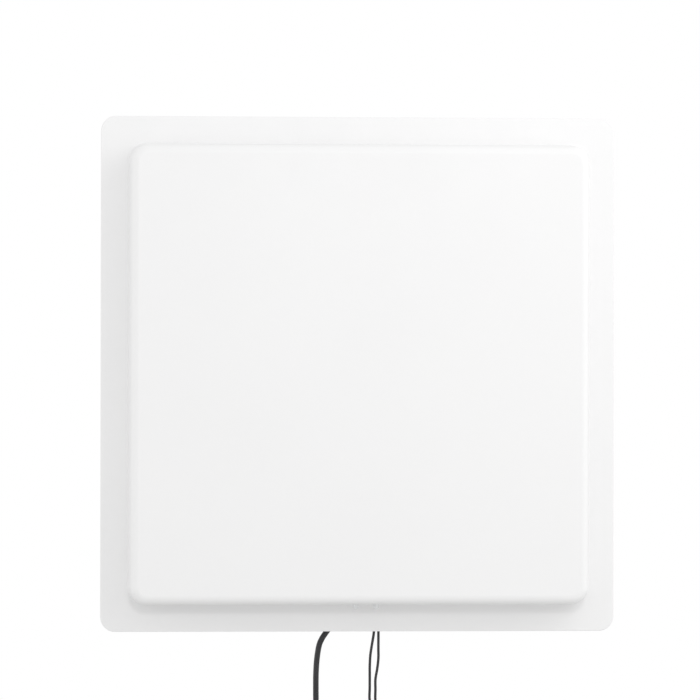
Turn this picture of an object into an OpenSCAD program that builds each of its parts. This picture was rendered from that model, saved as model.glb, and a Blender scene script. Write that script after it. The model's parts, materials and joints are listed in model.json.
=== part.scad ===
// Reader panel of a shop security gate, on its pan and tilt wall bracket.
// The origin is the middle of the wall face; the panel looks along -Y and +Z is up.
// Distances called "d" are measured from the wall, so a point at distance d lies at y = -d.

/* [Panel] */
// Width of the panel over its rim
panel_w = 445; // [400:5:540]
// Height of the panel over its rim
panel_h = 445; // [400:5:540]
// Corner radius of the rim
rim_r = 13; // [8:1:20]
// Visible width of the flat rim round the raised dome
rim_w = 24; // [18:0.5:30]
// Thickness of the rim
rim_t = 3; // [2.5:0.5:5]
// Height of the dome above the rim
dome_h = 38; // [36:1:60]
// Corner radius of the dome at its foot
dome_r = 15; // [14:1:24]
// How far the dome's walls lean in
dome_draft = 2; // [1:0.5:4]
// Radius of the dome's front edge
dome_edge_r = 7; // [4:0.5:8]
// Wall of the dome
dome_wall = 3; // [2:0.5:4]
// Depth of the skirt's wall round the back plate
skirt_t = 3; // [2:0.5:4]
// Thickness of the back plate
plate_t = 2; // [1.5:0.5:3]
// Thickness of the seal between plate and cover
seal_t = 1.5; // [1:0.5:2.5]
// Width of the seal
seal_w = 33; // [30:1:38]

/* [Aerial] */
// Side of each square patch
patch_w = 140; // [110:1:160]
// Distance between the middles of two patches
patch_pitch = 185; // [165:1:190]
// Cut at two corners of a patch
patch_cut = 18; // [8:1:30]
// Thickness of a patch
patch_t = 1; // [0.5:0.1:1.5]
// Height of a patch above the ground plane
patch_lift = 8.5; // [6:0.5:10]
// Side of the ground plane
ground_w = 360; // [350:2:362]
// Thickness of the ground plane
ground_t = 1.5; // [1:0.5:2]
// Height of the ground plane above the back plate
ground_lift = 21; // [20:0.5:22]
// Diameter of the insulating spacers under the patches
spacer_d = 8; // [6:0.5:12]
// Diameter of the feed pins
feed_pin_d = 3; // [2:0.5:4]
// Thickness of the boards
board_t = 1.6; // [1:0.2:2]

/* [Reader] */
// Width of the reader board
reader_w = 150; // [130:5:180]
// Height of the reader board
reader_h = 100; // [90:5:110]
// Height of the board's middle above the panel's middle
reader_z = -66; // [-70:1:-60]
// Height of the standoffs under the reader board
standoff_h = 8; // [6:0.5:9]
// Diameter of the status lenses
lens_d = 5; // [4:0.5:6]
// How far the lenses reach out beyond the foot of the dome
lens_out = 3.5; // [1:0.5:4]
// Place of the power lens across the panel
lens_power_x = -3; // [-20:0.5:0]
// Place of the read lens across the panel
lens_read_x = 14.5; // [10:0.5:30]

/* [Bracket] */
// Width of the wall plate
wall_w = 160; // [150:5:200]
// Height of the wall plate
wall_h = 120; // [110:5:160]
// Thickness of the wall plate and its ears
wall_t = 4; // [3:0.5:5]
// Distance between the wall screws across
wall_pitch_x = 120; // [100:5:130]
// Distance between the wall screws up and down
wall_pitch_z = 80; // [70:5:90]
// Diameter of the wall screw holes
wall_hole_d = 9; // [6:0.5:10]
// Distance of the pan pivot from the wall
pan_d = 40; // [36:1:50]
// Distance of the tilt pivot from the wall
tilt_d = 90; // [86:1:110]
// Distance of the panel's back from the tilt pivot
reach = 52; // [50:1:70]
// Clear height between the ears of the wall plate
ear_gap = 64; // [60:1:80]
// Width of the swivel
yoke_w = 60; // [56:1:76]
// Thickness of the swivel's steel
yoke_t = 4; // [3:0.5:5]
// Thickness of the panel bracket's steel
bracket_t = 3; // [2.5:0.5:4]
// Distance between the studs, both ways
stud_pitch = 100; // [90:5:110]
// Radius of the tilt lock slots
lock_r = 26; // [24:1:30]
// Tilt each way in degrees
tilt_max = 15; // [8:1:16]
// Diameter of the pan bolt
pan_bolt_d = 10; // [8:1:12]
// Diameter of the tilt pivot bolts
tilt_bolt_d = 8; // [6:1:8]
// Diameter of the lock bolts and the studs
lock_bolt_d = 6; // [5:1:6]
// Thickness of the washers between moving pieces
washer_t = 0.5; // [0.5:0.1:1]
// Running clearance round a bolt, on the radius
bolt_fit = 0.05; // [0.03:0.01:0.1]
// Clearance of a lock bolt in its slot, on each side
slot_fit = 0.3; // [0.2:0.05:0.5]

/* [Cable entry] */
// Width of the entry box
box_w = 110; // [100:2:130]
// Height of the entry box
box_h = 40; // [36:1:46]
// Depth of the entry box
box_depth = 34; // [32:1:44]
// Wall of the entry box
box_wall = 2.5; // [2:0.5:3]
// Height of the box's middle above the panel's middle
box_z = -128; // [-132:1:-126]
// Place of the data gland across the panel
data_x = -15; // [-30:0.5:-14]
// Place of the power gland across the panel
power_x = 17.75; // [14:0.25:30]
// Diameter of the gland threads
gland_d = 12; // [10:1:16]
// Length of the tapered cord boots
boot_len = 18; // [12:1:20]

/* [Cords] */
// Diameter of the data cord
data_d = 5; // [4:0.5:6]
// Diameter of each power lead
power_d = 2.3; // [1.8:0.1:2.4]
// Mean radius of the data coil
data_coil_r = 29; // [25:0.5:32]
// Mean radius of the power coil
power_coil_r = 13.6; // [12:0.2:15]

/* [Hidden] */
$fn = 48;
eps = 0.01;
ARC_STEPS = 8;

// Distances from the wall of the layers of the panel
plate_d = tilt_d + reach;
seal_d = plate_d + plate_t;
rim_d = seal_d + seal_t;
board_d = plate_d + plate_t + standoff_h;
ground_d = plate_d + plate_t + ground_lift;
patch_d = ground_d + ground_t + patch_lift;

// The back plate lies inside the skirt with this gap
skirt_gap = 0.3;
plate_w = panel_w - 2 * (skirt_t + skirt_gap);
plate_h = panel_h - 2 * (skirt_t + skirt_gap);
plate_r = rim_r - skirt_t - skirt_gap;
dome_foot_w = panel_w - 2 * rim_w;
dome_foot_h = panel_h - 2 * rim_w;

// Cover screws: bosses stand against the inside of the dome's walls
cover_screw_d = 3;
cover_boss_d = 10;
cover_boss_h = 8;
cover_screw_x = dome_foot_w / 2 - 7.5;
cover_screw_z = dome_foot_h / 2 - 7.5;
cover_screws_side = 4;

// Screws that hold boards, box and plates
small_screw_d = 3;
small_head_d = 5.5;
small_head_h = 2;
screw_fit = 0.05;

// Ground plane and its pillars
pillar_af = 7;
pillar_x = 168;
feed_inset = 35;
feed_bar_w = 24;
feed_board_d = ground_d - board_t;

// Reader board
standoff_x = reader_w / 2 - 6;
standoff_z = reader_h / 2 - 6;
standoff_af = 6;

// Status board, a little way inside the lower wall of the dome
dome_low_z = -dome_foot_h / 2;
lens_d_wall = rim_d + rim_t + 17;
led_z = dome_low_z + dome_wall + 12;
led_w = 44;
led_depth = 18;
led_mid_x = (lens_power_x + lens_read_x) / 2;
led_foot_t = 1.2;
led_foot_h = 9;
lens_collar_d = lens_d + 2.5;
lens_collar_h = 5;
lens_round_r = lens_d / 4;

// Wall plate and swivel
ear_t = wall_t;
lug_r = 14;
lug_z = ear_gap / 2 - washer_t - yoke_t;
web_d = pan_d + 18;
tilt_pad_r = 16;
yoke_ear_top = lock_r + 12;
yoke_ear_low = -18;
bracket_w = stud_pitch + 24;
bracket_ear_x = yoke_w / 2 + washer_t;
stud_len = 12;
bolt_head = 0.65;
strap_slot_w = 6;
strap_slot_h = 34;
strap_slot_x = 36;

// Cable entry
entry_hole_d = 24;
cord_d = plate_d - 18;
box_gasket_t = 1;
box_low_z = box_z - box_h / 2;
gland_collar_h = 5;
gland_cap_h = 10;
boot_top_z = box_low_z - gland_collar_h - gland_cap_h;
boot_low_z = boot_top_z - boot_len;
power_gap = 4.5;

// Coils: each hangs just below the end of its straight stretch
data_coil = [-35, -124.25, -354];
data_coil_w = 22.5;
power_coil = [14.5, -124.4, -318];
power_coil_w = 14.4;
power_pitch = 2.4;
CORD_SIDES = 12;
LEAD_SIDES = 8;

// Routes of the cords, from their boots down to the coils, then on to their plugs
DATA_ROUTE = [
    [-15, -124, -181], [-15, -124, -190], [-15.5, -124, -198], [-17, -124, -206],
    [-19.5, -124, -213.5], [-23, -124, -220.5], [-26.5, -124, -225.5], [-29.5, -124, -230],
    [-32, -124, -235.5], [-33.5, -124, -243], [-34.5, -124, -252], [-35, -124, -263],
    [-35, -123.5, -277], [-35, -121.5, -290], [-37, -117.5, -302], [-41.5, -113, -313],
    [-48, -110.5, -322.5], [-55, -110.5, -331.5], [-60, -110.5, -342], [-61.5, -110.5, -354]
];
DATA_TAIL = [
    [-66.5, -115.5, -373], [-66.5, -115.5, -380], [-66.5, -115.5, -388]
];
POWER_ROUTE_A = [
    [15.5, -124, -181], [15.5, -124, -192], [15.5, -124, -204], [15.5, -124, -216],
    [15.5, -124, -225], [14.5, -124, -232], [13.5, -124, -238], [12.5, -124, -245],
    [12, -124, -254], [12, -124, -264], [12, -124, -274], [12, -122.5, -284],
    [14.5, -118, -294], [19.5, -114.5, -302], [24.5, -113.6, -309], [26.9, -113.6, -318]
];
POWER_ROUTE_B = [
    [20, -124, -181], [20, -124, -192], [20, -124, -204], [19.5, -124, -216],
    [19.5, -124, -228], [19.5, -124, -240], [19.5, -124, -248], [18.5, -124, -257],
    [17, -124, -266], [17, -124, -275], [17, -123, -284], [18.5, -119.5, -293],
    [22, -116, -301], [25.5, -116, -309], [26.9, -116, -318]
];
POWER_TAIL_A = [[29.3, -118.4, -327.5], [29.3, -118.4, -338], [29.3, -118.4, -350]];
POWER_TAIL_B = [[29.3, -120.8, -327.5], [29.3, -120.8, -338], [29.3, -120.8, -350]];

STEEL = "#b9bcbd";
ZINC = "#c9cbc8";
WHITE = "#f2f3f5";
BLACK = "#1b1c1e";
BRASS = "#c2a35a";
GREEN = "#2f6b46";

// ---- Outlines -------------------------------------------------------------------------------

function arc(c, r, a0, a1, n = ARC_STEPS) =
    [for (i = [0:n]) let (a = a0 + (a1 - a0) * i / n) [c[0] + r * cos(a), c[1] + r * sin(a)]];

function round_box(w, h, r) = concat(
    arc([w / 2 - r, h / 2 - r], r, 0, 90),
    arc([r - w / 2, h / 2 - r], r, 90, 180),
    arc([r - w / 2, r - h / 2], r, 180, 270),
    arc([w / 2 - r, r - h / 2], r, 270, 360)
);

// An arc-shaped slot of radius r about the origin, half angle a, and width w
function arc_slot(r, a, w) = concat(
    arc([0, 0], r + w / 2, 90 - a, 90 + a, 14),
    arc([r * cos(90 + a), r * sin(90 + a)], w / 2, 90 + a, 270 + a),
    arc([0, 0], r - w / 2, 90 + a, 90 - a, 14),
    arc([r * cos(90 - a), r * sin(90 - a)], w / 2, 270 - a, 450 - a)
);

// ---- Placing --------------------------------------------------------------------------------

// Children stand on a plane at distance d from the wall and rise towards the front
module from_wall(d) {
    translate([0, -d, 0]) rotate([90, 0, 0]) children();
}

// Children are drawn as (distance from the wall, height) and rise along +X from x
module side_plate(x) {
    translate([x, 0, 0]) rotate([90, 0, -90]) mirror([0, 0, 1]) children();
}

module four(x, z) {
    for (i = [-1, 1]) {
        for (j = [-1, 1]) {
            translate([i * x, j * z, 0]) children();
        }
    }
}

module at_cover_screws() {
    for (i = [0:cover_screws_side - 1]) {
        t = -1 + 2 * (i + 0.5) / cover_screws_side;
        for (s = [-1, 1]) {
            translate([t * cover_screw_x, s * cover_screw_z, 0]) children();
            translate([s * cover_screw_x, t * cover_screw_z, 0]) children();
        }
    }
}

module at_pillars() {
    for (i = [-1:1]) {
        for (j = [-1:1]) {
            if (i != 0 || j != 0) {
                translate([i * pillar_x, j * pillar_x, 0]) children();
            }
        }
    }
}

module at_patches() {
    four(patch_pitch / 2, patch_pitch / 2) children();
}

// Feed points lie on the inner side of each patch
module at_feeds() {
    four(patch_pitch / 2 - feed_inset, patch_pitch / 2) children();
}

// Children are placed at both ends of the tilt pivot, their +Z pointing outwards
module both_sides() {
    rotate([0, 90, 0]) children();
    rotate([0, -90, 0]) children();
}

// ---- Fasteners ------------------------------------------------------------------------------

module hex(af, h) {
    cylinder(d = af / cos(30), h = h, $fn = 6);
}

module washer(d_out, d_in, t) {
    linear_extrude(t) difference() {
        circle(d = d_out);
        circle(d = d_in);
    }
}

module nut(d, h, fit = bolt_fit) {
    difference() {
        hex(1.65 * d, h);
        translate([0, 0, -1]) cylinder(r = d / 2 + fit, h = h + 2);
    }
}

// A pan-head screw whose head stands on z = 0 and whose shank runs down
module small_screw(d, len, head_d = small_head_d, head_h = small_head_h) {
    difference() {
        union() {
            cylinder(d = head_d, h = head_h);
            translate([0, 0, -len]) cylinder(d = d, h = len + 0.5);
        }
        for (a = [0, 90]) {
            rotate([0, 0, a]) translate([-head_d / 3, -0.4, head_h / 2]) cube([head_d / 1.5, 0.8, head_h]);
        }
    }
}

// ---- Cords ----------------------------------------------------------------------------------

function unit(v) = v / norm(v);

function heading(path, i) =
    unit(path[min(i + 1, len(path) - 1)] - path[max(i - 1, 0)]);

// One ring of the tube; its sides are squared to the path's heading
function ring(p, t, r, n) =
    let (u = unit(cross(t, [0, 1, 0])), v = cross(u, t))
    [for (k = [0:n - 1]) p + r * (cos(360 * (k + 0.5) / n) * u + sin(360 * (k + 0.5) / n) * v)];

module cord_tube(path, d, n) {
    rings = len(path);
    points = [for (i = [0:rings - 1]) each ring(path[i], heading(path, i), d / 2, n)];
    sides = [
        for (i = [0:rings - 2]) for (k = [0:n - 1])
            [i * n + k, i * n + (k + 1) % n, (i + 1) * n + (k + 1) % n, (i + 1) * n + k]
    ];
    near = [for (k = [n - 1:-1:0]) k];
    far = [for (k = [0:n - 1]) (rings - 1) * n + k];
    polyhedron(points, concat(sides, [near, far]));
}

// The outer shape of a coil whose axis runs front to back
module coil_pack(centre, r_mean, thick, w) {
    translate(centre) rotate([90, 0, 0]) rotate_extrude()
        translate([r_mean - thick / 2, -w / 2]) square([thick, w]);
}

// A strap closed round the top of a coil
module coil_tie(centre, r_mean, thick, w, band_w, band_t, gap = 0.3) {
    inner = [band_w + 2, w + 2 * gap, thick + 2 * gap];
    outer = [band_w, w + 2 * (gap + band_t), thick + 2 * (gap + band_t)];
    translate(centre + [0, 0, r_mean]) difference() {
        cube(outer, center = true);
        cube(inner, center = true);
    }
}

// ---- Wall bracket ---------------------------------------------------------------------------

module wall_plate() {
    color(STEEL) {
        from_wall(0) linear_extrude(wall_t) difference() {
            polygon(round_box(wall_w, wall_h, 8));
            four(wall_pitch_x / 2, wall_pitch_z / 2) circle(d = wall_hole_d);
            for (s = [-1, 1]) {
                translate([s * strap_slot_x, 0]) square([strap_slot_w, strap_slot_h], center = true);
            }
        }
        for (z = [ear_gap / 2, -ear_gap / 2 - ear_t]) {
            translate([0, 0, z]) linear_extrude(ear_t) difference() {
                polygon(concat([[yoke_w / 2, -eps], [-yoke_w / 2, -eps]],
                    [[-yoke_w / 2, -wall_t - 8]], arc([0, -pan_d], lug_r, 180, 360),
                    [[yoke_w / 2, -wall_t - 8]]));
                translate([0, -pan_d]) circle(r = pan_bolt_d / 2 + bolt_fit);
            }
        }
    }
}

pan_head_h = bolt_head * pan_bolt_d;
pan_nut_h = 0.8 * pan_bolt_d;
ear_out = ear_gap / 2 + ear_t;

module pan_bolt() {
    color(ZINC) translate([0, -pan_d, 0]) {
        translate([0, 0, ear_out]) hex(1.7 * pan_bolt_d, pan_head_h);
        translate([0, 0, -ear_out - pan_nut_h - 3])
            cylinder(d = pan_bolt_d, h = 2 * ear_out + pan_nut_h + 4);
    }
}

module pan_nut() {
    color(ZINC) translate([0, -pan_d, -ear_out - pan_nut_h]) nut(pan_bolt_d, pan_nut_h);
}

module pan_washers() {
    color(BRASS) for (z = [ear_gap / 2 - washer_t, -ear_gap / 2]) {
        translate([0, -pan_d, z]) washer(2 * lug_r - 4, pan_bolt_d + 2 * bolt_fit, washer_t);
    }
}

// ---- Swivel ---------------------------------------------------------------------------------

module yoke_ear() {
    linear_extrude(yoke_t) difference() {
        polygon(concat([[web_d, yoke_ear_top], [web_d, yoke_ear_low], [tilt_d - 6, yoke_ear_low]],
            arc([tilt_d, 0], -yoke_ear_low, 270, 360),
            arc([tilt_d - yoke_ear_low - 8, yoke_ear_top - 8], 8, 0, 90)));
        translate([tilt_d, 0]) circle(r = tilt_bolt_d / 2 + bolt_fit);
        translate([tilt_d, 0]) polygon(arc_slot(lock_r, tilt_max + 1.5, lock_bolt_d + 2 * slot_fit));
    }
}

module yoke() {
    color(STEEL) {
        translate([-yoke_w / 2, -web_d - yoke_t, -lug_z - yoke_t])
            cube([yoke_w, yoke_t, 2 * (lug_z + yoke_t)]);
        for (z = [lug_z, -lug_z - yoke_t]) {
            translate([0, 0, z]) linear_extrude(yoke_t) difference() {
                polygon(concat([[-yoke_w / 2 + 6, -web_d - eps], [yoke_w / 2 - 6, -web_d - eps]],
                    arc([0, -pan_d], lug_r, 0, 180)));
                translate([0, -pan_d]) circle(r = pan_bolt_d / 2 + bolt_fit);
            }
        }
        side_plate(yoke_w / 2 - yoke_t) yoke_ear();
        side_plate(-yoke_w / 2) yoke_ear();
    }
}

bracket_ear_out = bracket_ear_x + yoke_t;
tilt_head_h = bolt_head * tilt_bolt_d;
tilt_nut_h = 0.8 * tilt_bolt_d;
yoke_inside = yoke_w / 2 - yoke_t;

module tilt_pivot_bolts() {
    color(ZINC) translate([0, -tilt_d, 0]) both_sides() {
        translate([0, 0, bracket_ear_out]) hex(1.65 * tilt_bolt_d, tilt_head_h);
        translate([0, 0, yoke_inside - tilt_nut_h - 2])
            cylinder(d = tilt_bolt_d, h = bracket_ear_out - yoke_inside + tilt_nut_h + 3);
    }
}

module tilt_pivot_nuts() {
    color(ZINC) translate([0, -tilt_d, 0]) both_sides() {
        translate([0, 0, yoke_inside - tilt_nut_h]) nut(tilt_bolt_d, tilt_nut_h);
    }
}

module friction_washers() {
    color(BRASS) translate([0, -tilt_d, 0]) both_sides() {
        translate([0, 0, yoke_w / 2]) washer(2 * tilt_pad_r - 4, tilt_bolt_d + 2 * bolt_fit, washer_t);
    }
}

// ---- Panel bracket --------------------------------------------------------------------------

module bracket_ear() {
    linear_extrude(yoke_t) difference() {
        polygon(concat([[plate_d - eps, -30], [tilt_d + 10, -tilt_pad_r]],
            arc([tilt_d, 0], tilt_pad_r, 270, 180),
            arc([tilt_d, lock_r], 12, 180, 60), [[plate_d - eps, yoke_ear_top + 6]]));
        translate([tilt_d, 0]) circle(r = tilt_bolt_d / 2 + bolt_fit);
        translate([tilt_d, lock_r]) circle(r = lock_bolt_d / 2 + bolt_fit);
    }
}

module panel_bracket() {
    color(STEEL) {
        from_wall(plate_d - bracket_t) linear_extrude(bracket_t) difference() {
            polygon(round_box(bracket_w, bracket_w, 8));
            four(stud_pitch / 2, stud_pitch / 2) circle(r = lock_bolt_d / 2 + bolt_fit);
        }
        side_plate(bracket_ear_x) bracket_ear();
        side_plate(-bracket_ear_out) bracket_ear();
    }
}

stud_flange_h = 1.5;
m6_nut_h = 0.8 * lock_bolt_d;

// Studs with a thin flange inside the plate, standing out at the back
module bracket_studs() {
    color(ZINC) from_wall(plate_d) four(stud_pitch / 2, stud_pitch / 2) {
        translate([0, 0, plate_t]) cylinder(d = 2 * lock_bolt_d, h = stud_flange_h);
        translate([0, 0, -stud_len]) cylinder(d = lock_bolt_d, h = stud_len + plate_t + 1);
    }
}

module lock_bolts() {
    color(ZINC) translate([0, -tilt_d, lock_r]) both_sides() {
        translate([0, 0, bracket_ear_out]) hex(1.65 * lock_bolt_d, bolt_head * lock_bolt_d);
        translate([0, 0, yoke_inside - m6_nut_h - 2])
            cylinder(d = lock_bolt_d, h = bracket_ear_out - yoke_inside + m6_nut_h + 3);
    }
}

module m6_nuts() {
    color(ZINC) {
        from_wall(plate_d - bracket_t - m6_nut_h) four(stud_pitch / 2, stud_pitch / 2)
            nut(lock_bolt_d, m6_nut_h);
        translate([0, -tilt_d, lock_r]) both_sides() {
            translate([0, 0, yoke_inside - m6_nut_h]) nut(lock_bolt_d, m6_nut_h);
        }
    }
}

// ---- Housing --------------------------------------------------------------------------------

vent_x = 150;
vent_z = -150;
vent_hole_d = 8;
earth_x = -150;
earth_z = -150;
earth_d = 4;
box_screw_x = box_w / 2 - 6;
box_screw_z = box_h / 2 - 6;

module back_plate() {
    color(ZINC) from_wall(plate_d) linear_extrude(plate_t) difference() {
        polygon(round_box(plate_w, plate_h, plate_r));
        at_cover_screws() circle(r = cover_screw_d / 2 + screw_fit);
        at_pillars() circle(r = small_screw_d / 2 + screw_fit);
        four(stud_pitch / 2, stud_pitch / 2) circle(r = lock_bolt_d / 2 + bolt_fit);
        translate([0, reader_z]) four(standoff_x, standoff_z) circle(r = small_screw_d / 2 + screw_fit);
        translate([0, box_z]) four(box_screw_x, box_screw_z) circle(r = small_screw_d / 2 + screw_fit);
        translate([0, box_z]) circle(d = entry_hole_d);
        translate([vent_x, vent_z]) circle(d = vent_hole_d);
        translate([earth_x, earth_z]) circle(r = earth_d / 2 + screw_fit);
    }
}

module cover_gasket() {
    color(BLACK) from_wall(seal_d) linear_extrude(seal_t) difference() {
        polygon(round_box(plate_w, plate_h, plate_r));
        polygon(round_box(plate_w - 2 * seal_w, plate_h - 2 * seal_w, 6));
        at_cover_screws() circle(r = cover_screw_d / 2 + screw_fit);
    }
}

// The dome as a hull of its four corners; each is a turned profile with a leaning
// wall and a rounded front edge
module dome_solid(w, h, r, tall, draft, edge) {
    profile = concat([[0, 0], [r, 0]],
        arc([r - draft - edge, tall - edge], edge, 0, 90, 6), [[0, tall]]);
    hull() {
        four(w / 2 - r, h / 2 - r) rotate_extrude($fn = 32) polygon(profile);
    }
}

// Bars are cut flat at the back so that nothing stands proud of the rim
module radome_cover() {
    color(WHITE) from_wall(0) difference() {
        union() {
            translate([0, 0, rim_d]) linear_extrude(rim_t) polygon(round_box(panel_w, panel_h, rim_r));
            translate([0, 0, plate_d]) linear_extrude(rim_d - plate_d + eps) difference() {
                polygon(round_box(panel_w, panel_h, rim_r));
                polygon(round_box(panel_w - 2 * skirt_t, panel_h - 2 * skirt_t, rim_r - skirt_t));
            }
            translate([0, 0, rim_d + rim_t - eps])
                dome_solid(dome_foot_w, dome_foot_h, dome_r, dome_h + eps, dome_draft, dome_edge_r);
        }
        difference() {
            translate([0, 0, rim_d - eps])
                dome_solid(dome_foot_w - 2 * dome_wall, dome_foot_h - 2 * dome_wall, dome_r - dome_wall,
                    rim_t + dome_h - dome_wall + eps, dome_draft, dome_edge_r - 2);
            translate([0, 0, rim_d - 1]) at_cover_screws() cylinder(d = cover_boss_d, h = cover_boss_h + 1);
        }
        translate([0, 0, rim_d - 1]) at_cover_screws()
            cylinder(r = cover_screw_d / 2 + screw_fit, h = cover_boss_h - 1);
        for (x = [lens_power_x, lens_read_x]) {
            translate([x, -dome_foot_h / 2 - 1, lens_d_wall]) rotate([-90, 0, 0])
                cylinder(r = lens_d / 2 + screw_fit, h = 12);
        }
    }
}

module cover_screws() {
    color(ZINC) from_wall(plate_d) at_cover_screws() mirror([0, 0, 1])
        small_screw(cover_screw_d, plate_t + seal_t + cover_boss_h - 3);
}

// ---- Aerial ---------------------------------------------------------------------------------

module ground_plane() {
    color(ZINC) from_wall(ground_d) linear_extrude(ground_t) difference() {
        square(ground_w, center = true);
        at_feeds() circle(d = feed_pin_d + 4);
        at_pillars() circle(r = small_screw_d / 2 + screw_fit);
    }
}

// Hexagonal pillars, each with a screw stub through the plate and the ground plane
module ground_pillars() {
    color(ZINC) from_wall(plate_d) at_pillars() {
        translate([0, 0, plate_t]) hex(pillar_af, ground_lift);
        translate([0, 0, -small_head_h]) cylinder(d = small_head_d, h = small_head_h);
        translate([0, 0, -1]) cylinder(d = small_screw_d, h = plate_t + ground_lift + ground_t + 2);
        translate([0, 0, plate_t + ground_lift + ground_t]) cylinder(d = small_head_d, h = small_head_h);
    }
}

// A square patch with two corners cut off, one way or the other
module patch(i, j) {
    h = patch_w / 2;
    color(BRASS) from_wall(patch_d) linear_extrude(patch_t)
        translate([i * patch_pitch / 2, j * patch_pitch / 2]) difference() {
            polygon([[patch_cut - h, -h], [h, -h], [h, h - patch_cut],
                [h - patch_cut, h], [-h, h], [-h, patch_cut - h]]);
            translate([-i * feed_inset, 0]) circle(r = feed_pin_d / 2 + screw_fit);
        }
}

module patch_top_left() { patch(-1, 1); }
module patch_top_right() { patch(1, 1); }
module patch_bottom_left() { patch(-1, -1); }
module patch_bottom_right() { patch(1, -1); }

module patch_spacers() {
    color("white") from_wall(ground_d + ground_t) at_patches() {
        cylinder(d = spacer_d, h = patch_lift);
        four(patch_w / 2 - 12, patch_w / 2 - 24) cylinder(d = spacer_d, h = patch_lift);
    }
}

module feed_pins() {
    color(BRASS) from_wall(feed_board_d) at_feeds() {
        cylinder(d = feed_pin_d, h = board_t + ground_t + patch_lift + patch_t + 1);
    }
}

// An H-shaped divider board on the back of the ground plane
module feed_board() {
    feed_x = patch_pitch / 2 - feed_inset;
    color(GREEN) from_wall(feed_board_d) linear_extrude(board_t) difference() {
        union() {
            for (s = [-1, 1]) {
                translate([s * feed_x, 0]) square([feed_bar_w, patch_pitch + feed_bar_w], center = true);
            }
            square([2 * feed_x, feed_bar_w], center = true);
        }
        at_feeds() circle(r = feed_pin_d / 2 + screw_fit);
    }
}

// ---- Reader ---------------------------------------------------------------------------------

module reader_board() {
    color(GREEN) from_wall(board_d) translate([0, reader_z, 0]) linear_extrude(board_t) difference() {
        square([reader_w, reader_h], center = true);
        four(standoff_x, standoff_z) circle(r = small_screw_d / 2 + screw_fit);
    }
}

module board_standoffs() {
    color(BRASS) from_wall(plate_d + plate_t) translate([0, reader_z, 0]) four(standoff_x, standoff_z) {
        difference() {
            hex(standoff_af, standoff_h);
            translate([0, 0, -1]) cylinder(r = small_screw_d / 2 + screw_fit, h = standoff_h + 2);
        }
    }
}

// Screws from the front of the board and from the back of the plate meet in each standoff
module board_screws() {
    color(ZINC) translate([0, 0, reader_z]) {
        from_wall(board_d + board_t) four(standoff_x, standoff_z)
            small_screw(small_screw_d, board_t + standoff_h / 2 - 0.2);
        from_wall(plate_d) four(standoff_x, standoff_z) mirror([0, 0, 1])
            small_screw(small_screw_d, plate_t + standoff_h / 2 - 0.2);
    }
}

// Place across the panel and distance from the wall of the short aerial lead
rf_x = 10;
rf_d = board_d + board_t + 3;

shield_h = 6;
shield_wall = 0.5;
shield_size = [62, 52];
shield_at = [-30, reader_z + 14];

module rf_shield() {
    color(ZINC) from_wall(board_d + board_t) translate(shield_at) difference() {
        linear_extrude(shield_h) square(shield_size, center = true);
        translate([0, 0, -eps]) linear_extrude(shield_h - shield_wall)
            square(shield_size - 2 * [shield_wall, shield_wall], center = true);
    }
}

module board_components() {
    front = board_d + board_t;
    color(BLACK) from_wall(front) {
        translate([-30, reader_z + 14]) linear_extrude(2) square([18, 18], center = true);
        translate([-40, reader_z - 4]) linear_extrude(1.5) square([8, 6], center = true);
        translate([30, reader_z + 14]) linear_extrude(1.5) square([14, 14], center = true);
        for (i = [0:2]) {
            translate([18 + 14 * i, reader_z + 34]) cylinder(d = 8, h = 8);
        }
        translate([52, reader_z + 6]) linear_extrude(6) square([10, 10], center = true);
        translate([rf_x, reader_z + 34]) cylinder(d = 6, h = 6);
    }
    color(BRASS) from_wall(feed_board_d - 5) translate([rf_x, 0]) cylinder(d = 6, h = 5);
}

module terminal_block() {
    color("#3f7fae") from_wall(board_d + board_t)
        translate([0, reader_z - reader_h / 2 + 9, 0]) difference() {
            linear_extrude(9) square([50, 12], center = true);
            for (i = [-4:4]) {
                translate([5.2 * i, 2.5, 5]) cylinder(d = 3, h = 5);
            }
        }
}

module beeper() {
    color(BLACK) from_wall(board_d + board_t) translate([52, reader_z - 22, 0]) difference() {
        cylinder(d = 13, h = 7);
        translate([0, 0, 5]) cylinder(d = 2, h = 3);
    }
}

// A short aerial lead from the reader's socket to the divider board's socket
RF_ROUTE = [
    [rf_x, -rf_d, reader_z + 40.5], [rf_x, -rf_d, reader_z + 47],
    [rf_x, 0.2 - rf_d, reader_z + 53], [rf_x, 0.5 - rf_d, -8], [rf_x, 0.5 - rf_d, -3.2]
];

module rf_jumper() {
    color(BLACK) {
        translate([rf_x, -rf_d, reader_z + 37.1]) cylinder(d = 4, h = 4);
        cord_tube(RF_ROUTE, 2.2, LEAD_SIDES);
    }
}

// ---- Status lights --------------------------------------------------------------------------

led_front_d = lens_d_wall + led_depth / 2;

// A folded bracket: its foot lies on the back plate and its shelf carries the status board
module led_bracket() {
    color(ZINC) translate([led_mid_x, 0, 0]) {
        translate([-led_w / 2, -plate_d - plate_t - led_foot_t, led_z + board_t])
            cube([led_w, led_foot_t, led_foot_h]);
        translate([-led_w / 2, -led_front_d, led_z + board_t])
            cube([led_w, led_front_d - plate_d - plate_t, led_foot_t]);
    }
}

module led_board() {
    color(GREEN) translate([led_mid_x - led_w / 2, -led_front_d, led_z]) cube([led_w, led_depth, board_t]);
}

// A light pipe with a collar inside the wall and a rounded end outside
module status_lens(x) {
    end_z = dome_low_z - lens_out;
    side = arc([lens_d / 2 - lens_round_r, lens_round_r], lens_round_r, -90, 0);
    profile = concat([[0, 0]], side, [[lens_d / 2, led_z - end_z], [0, led_z - end_z]]);
    translate([x, -lens_d_wall, end_z]) rotate_extrude() polygon(profile);
    translate([x, -lens_d_wall, led_z - lens_collar_h]) cylinder(d = lens_collar_d, h = lens_collar_h);
}

module status_lens_power() { color("#dfe8e2") status_lens(lens_power_x); }
module status_lens_read() { color("#e6e2dc") status_lens(lens_read_x); }

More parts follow.
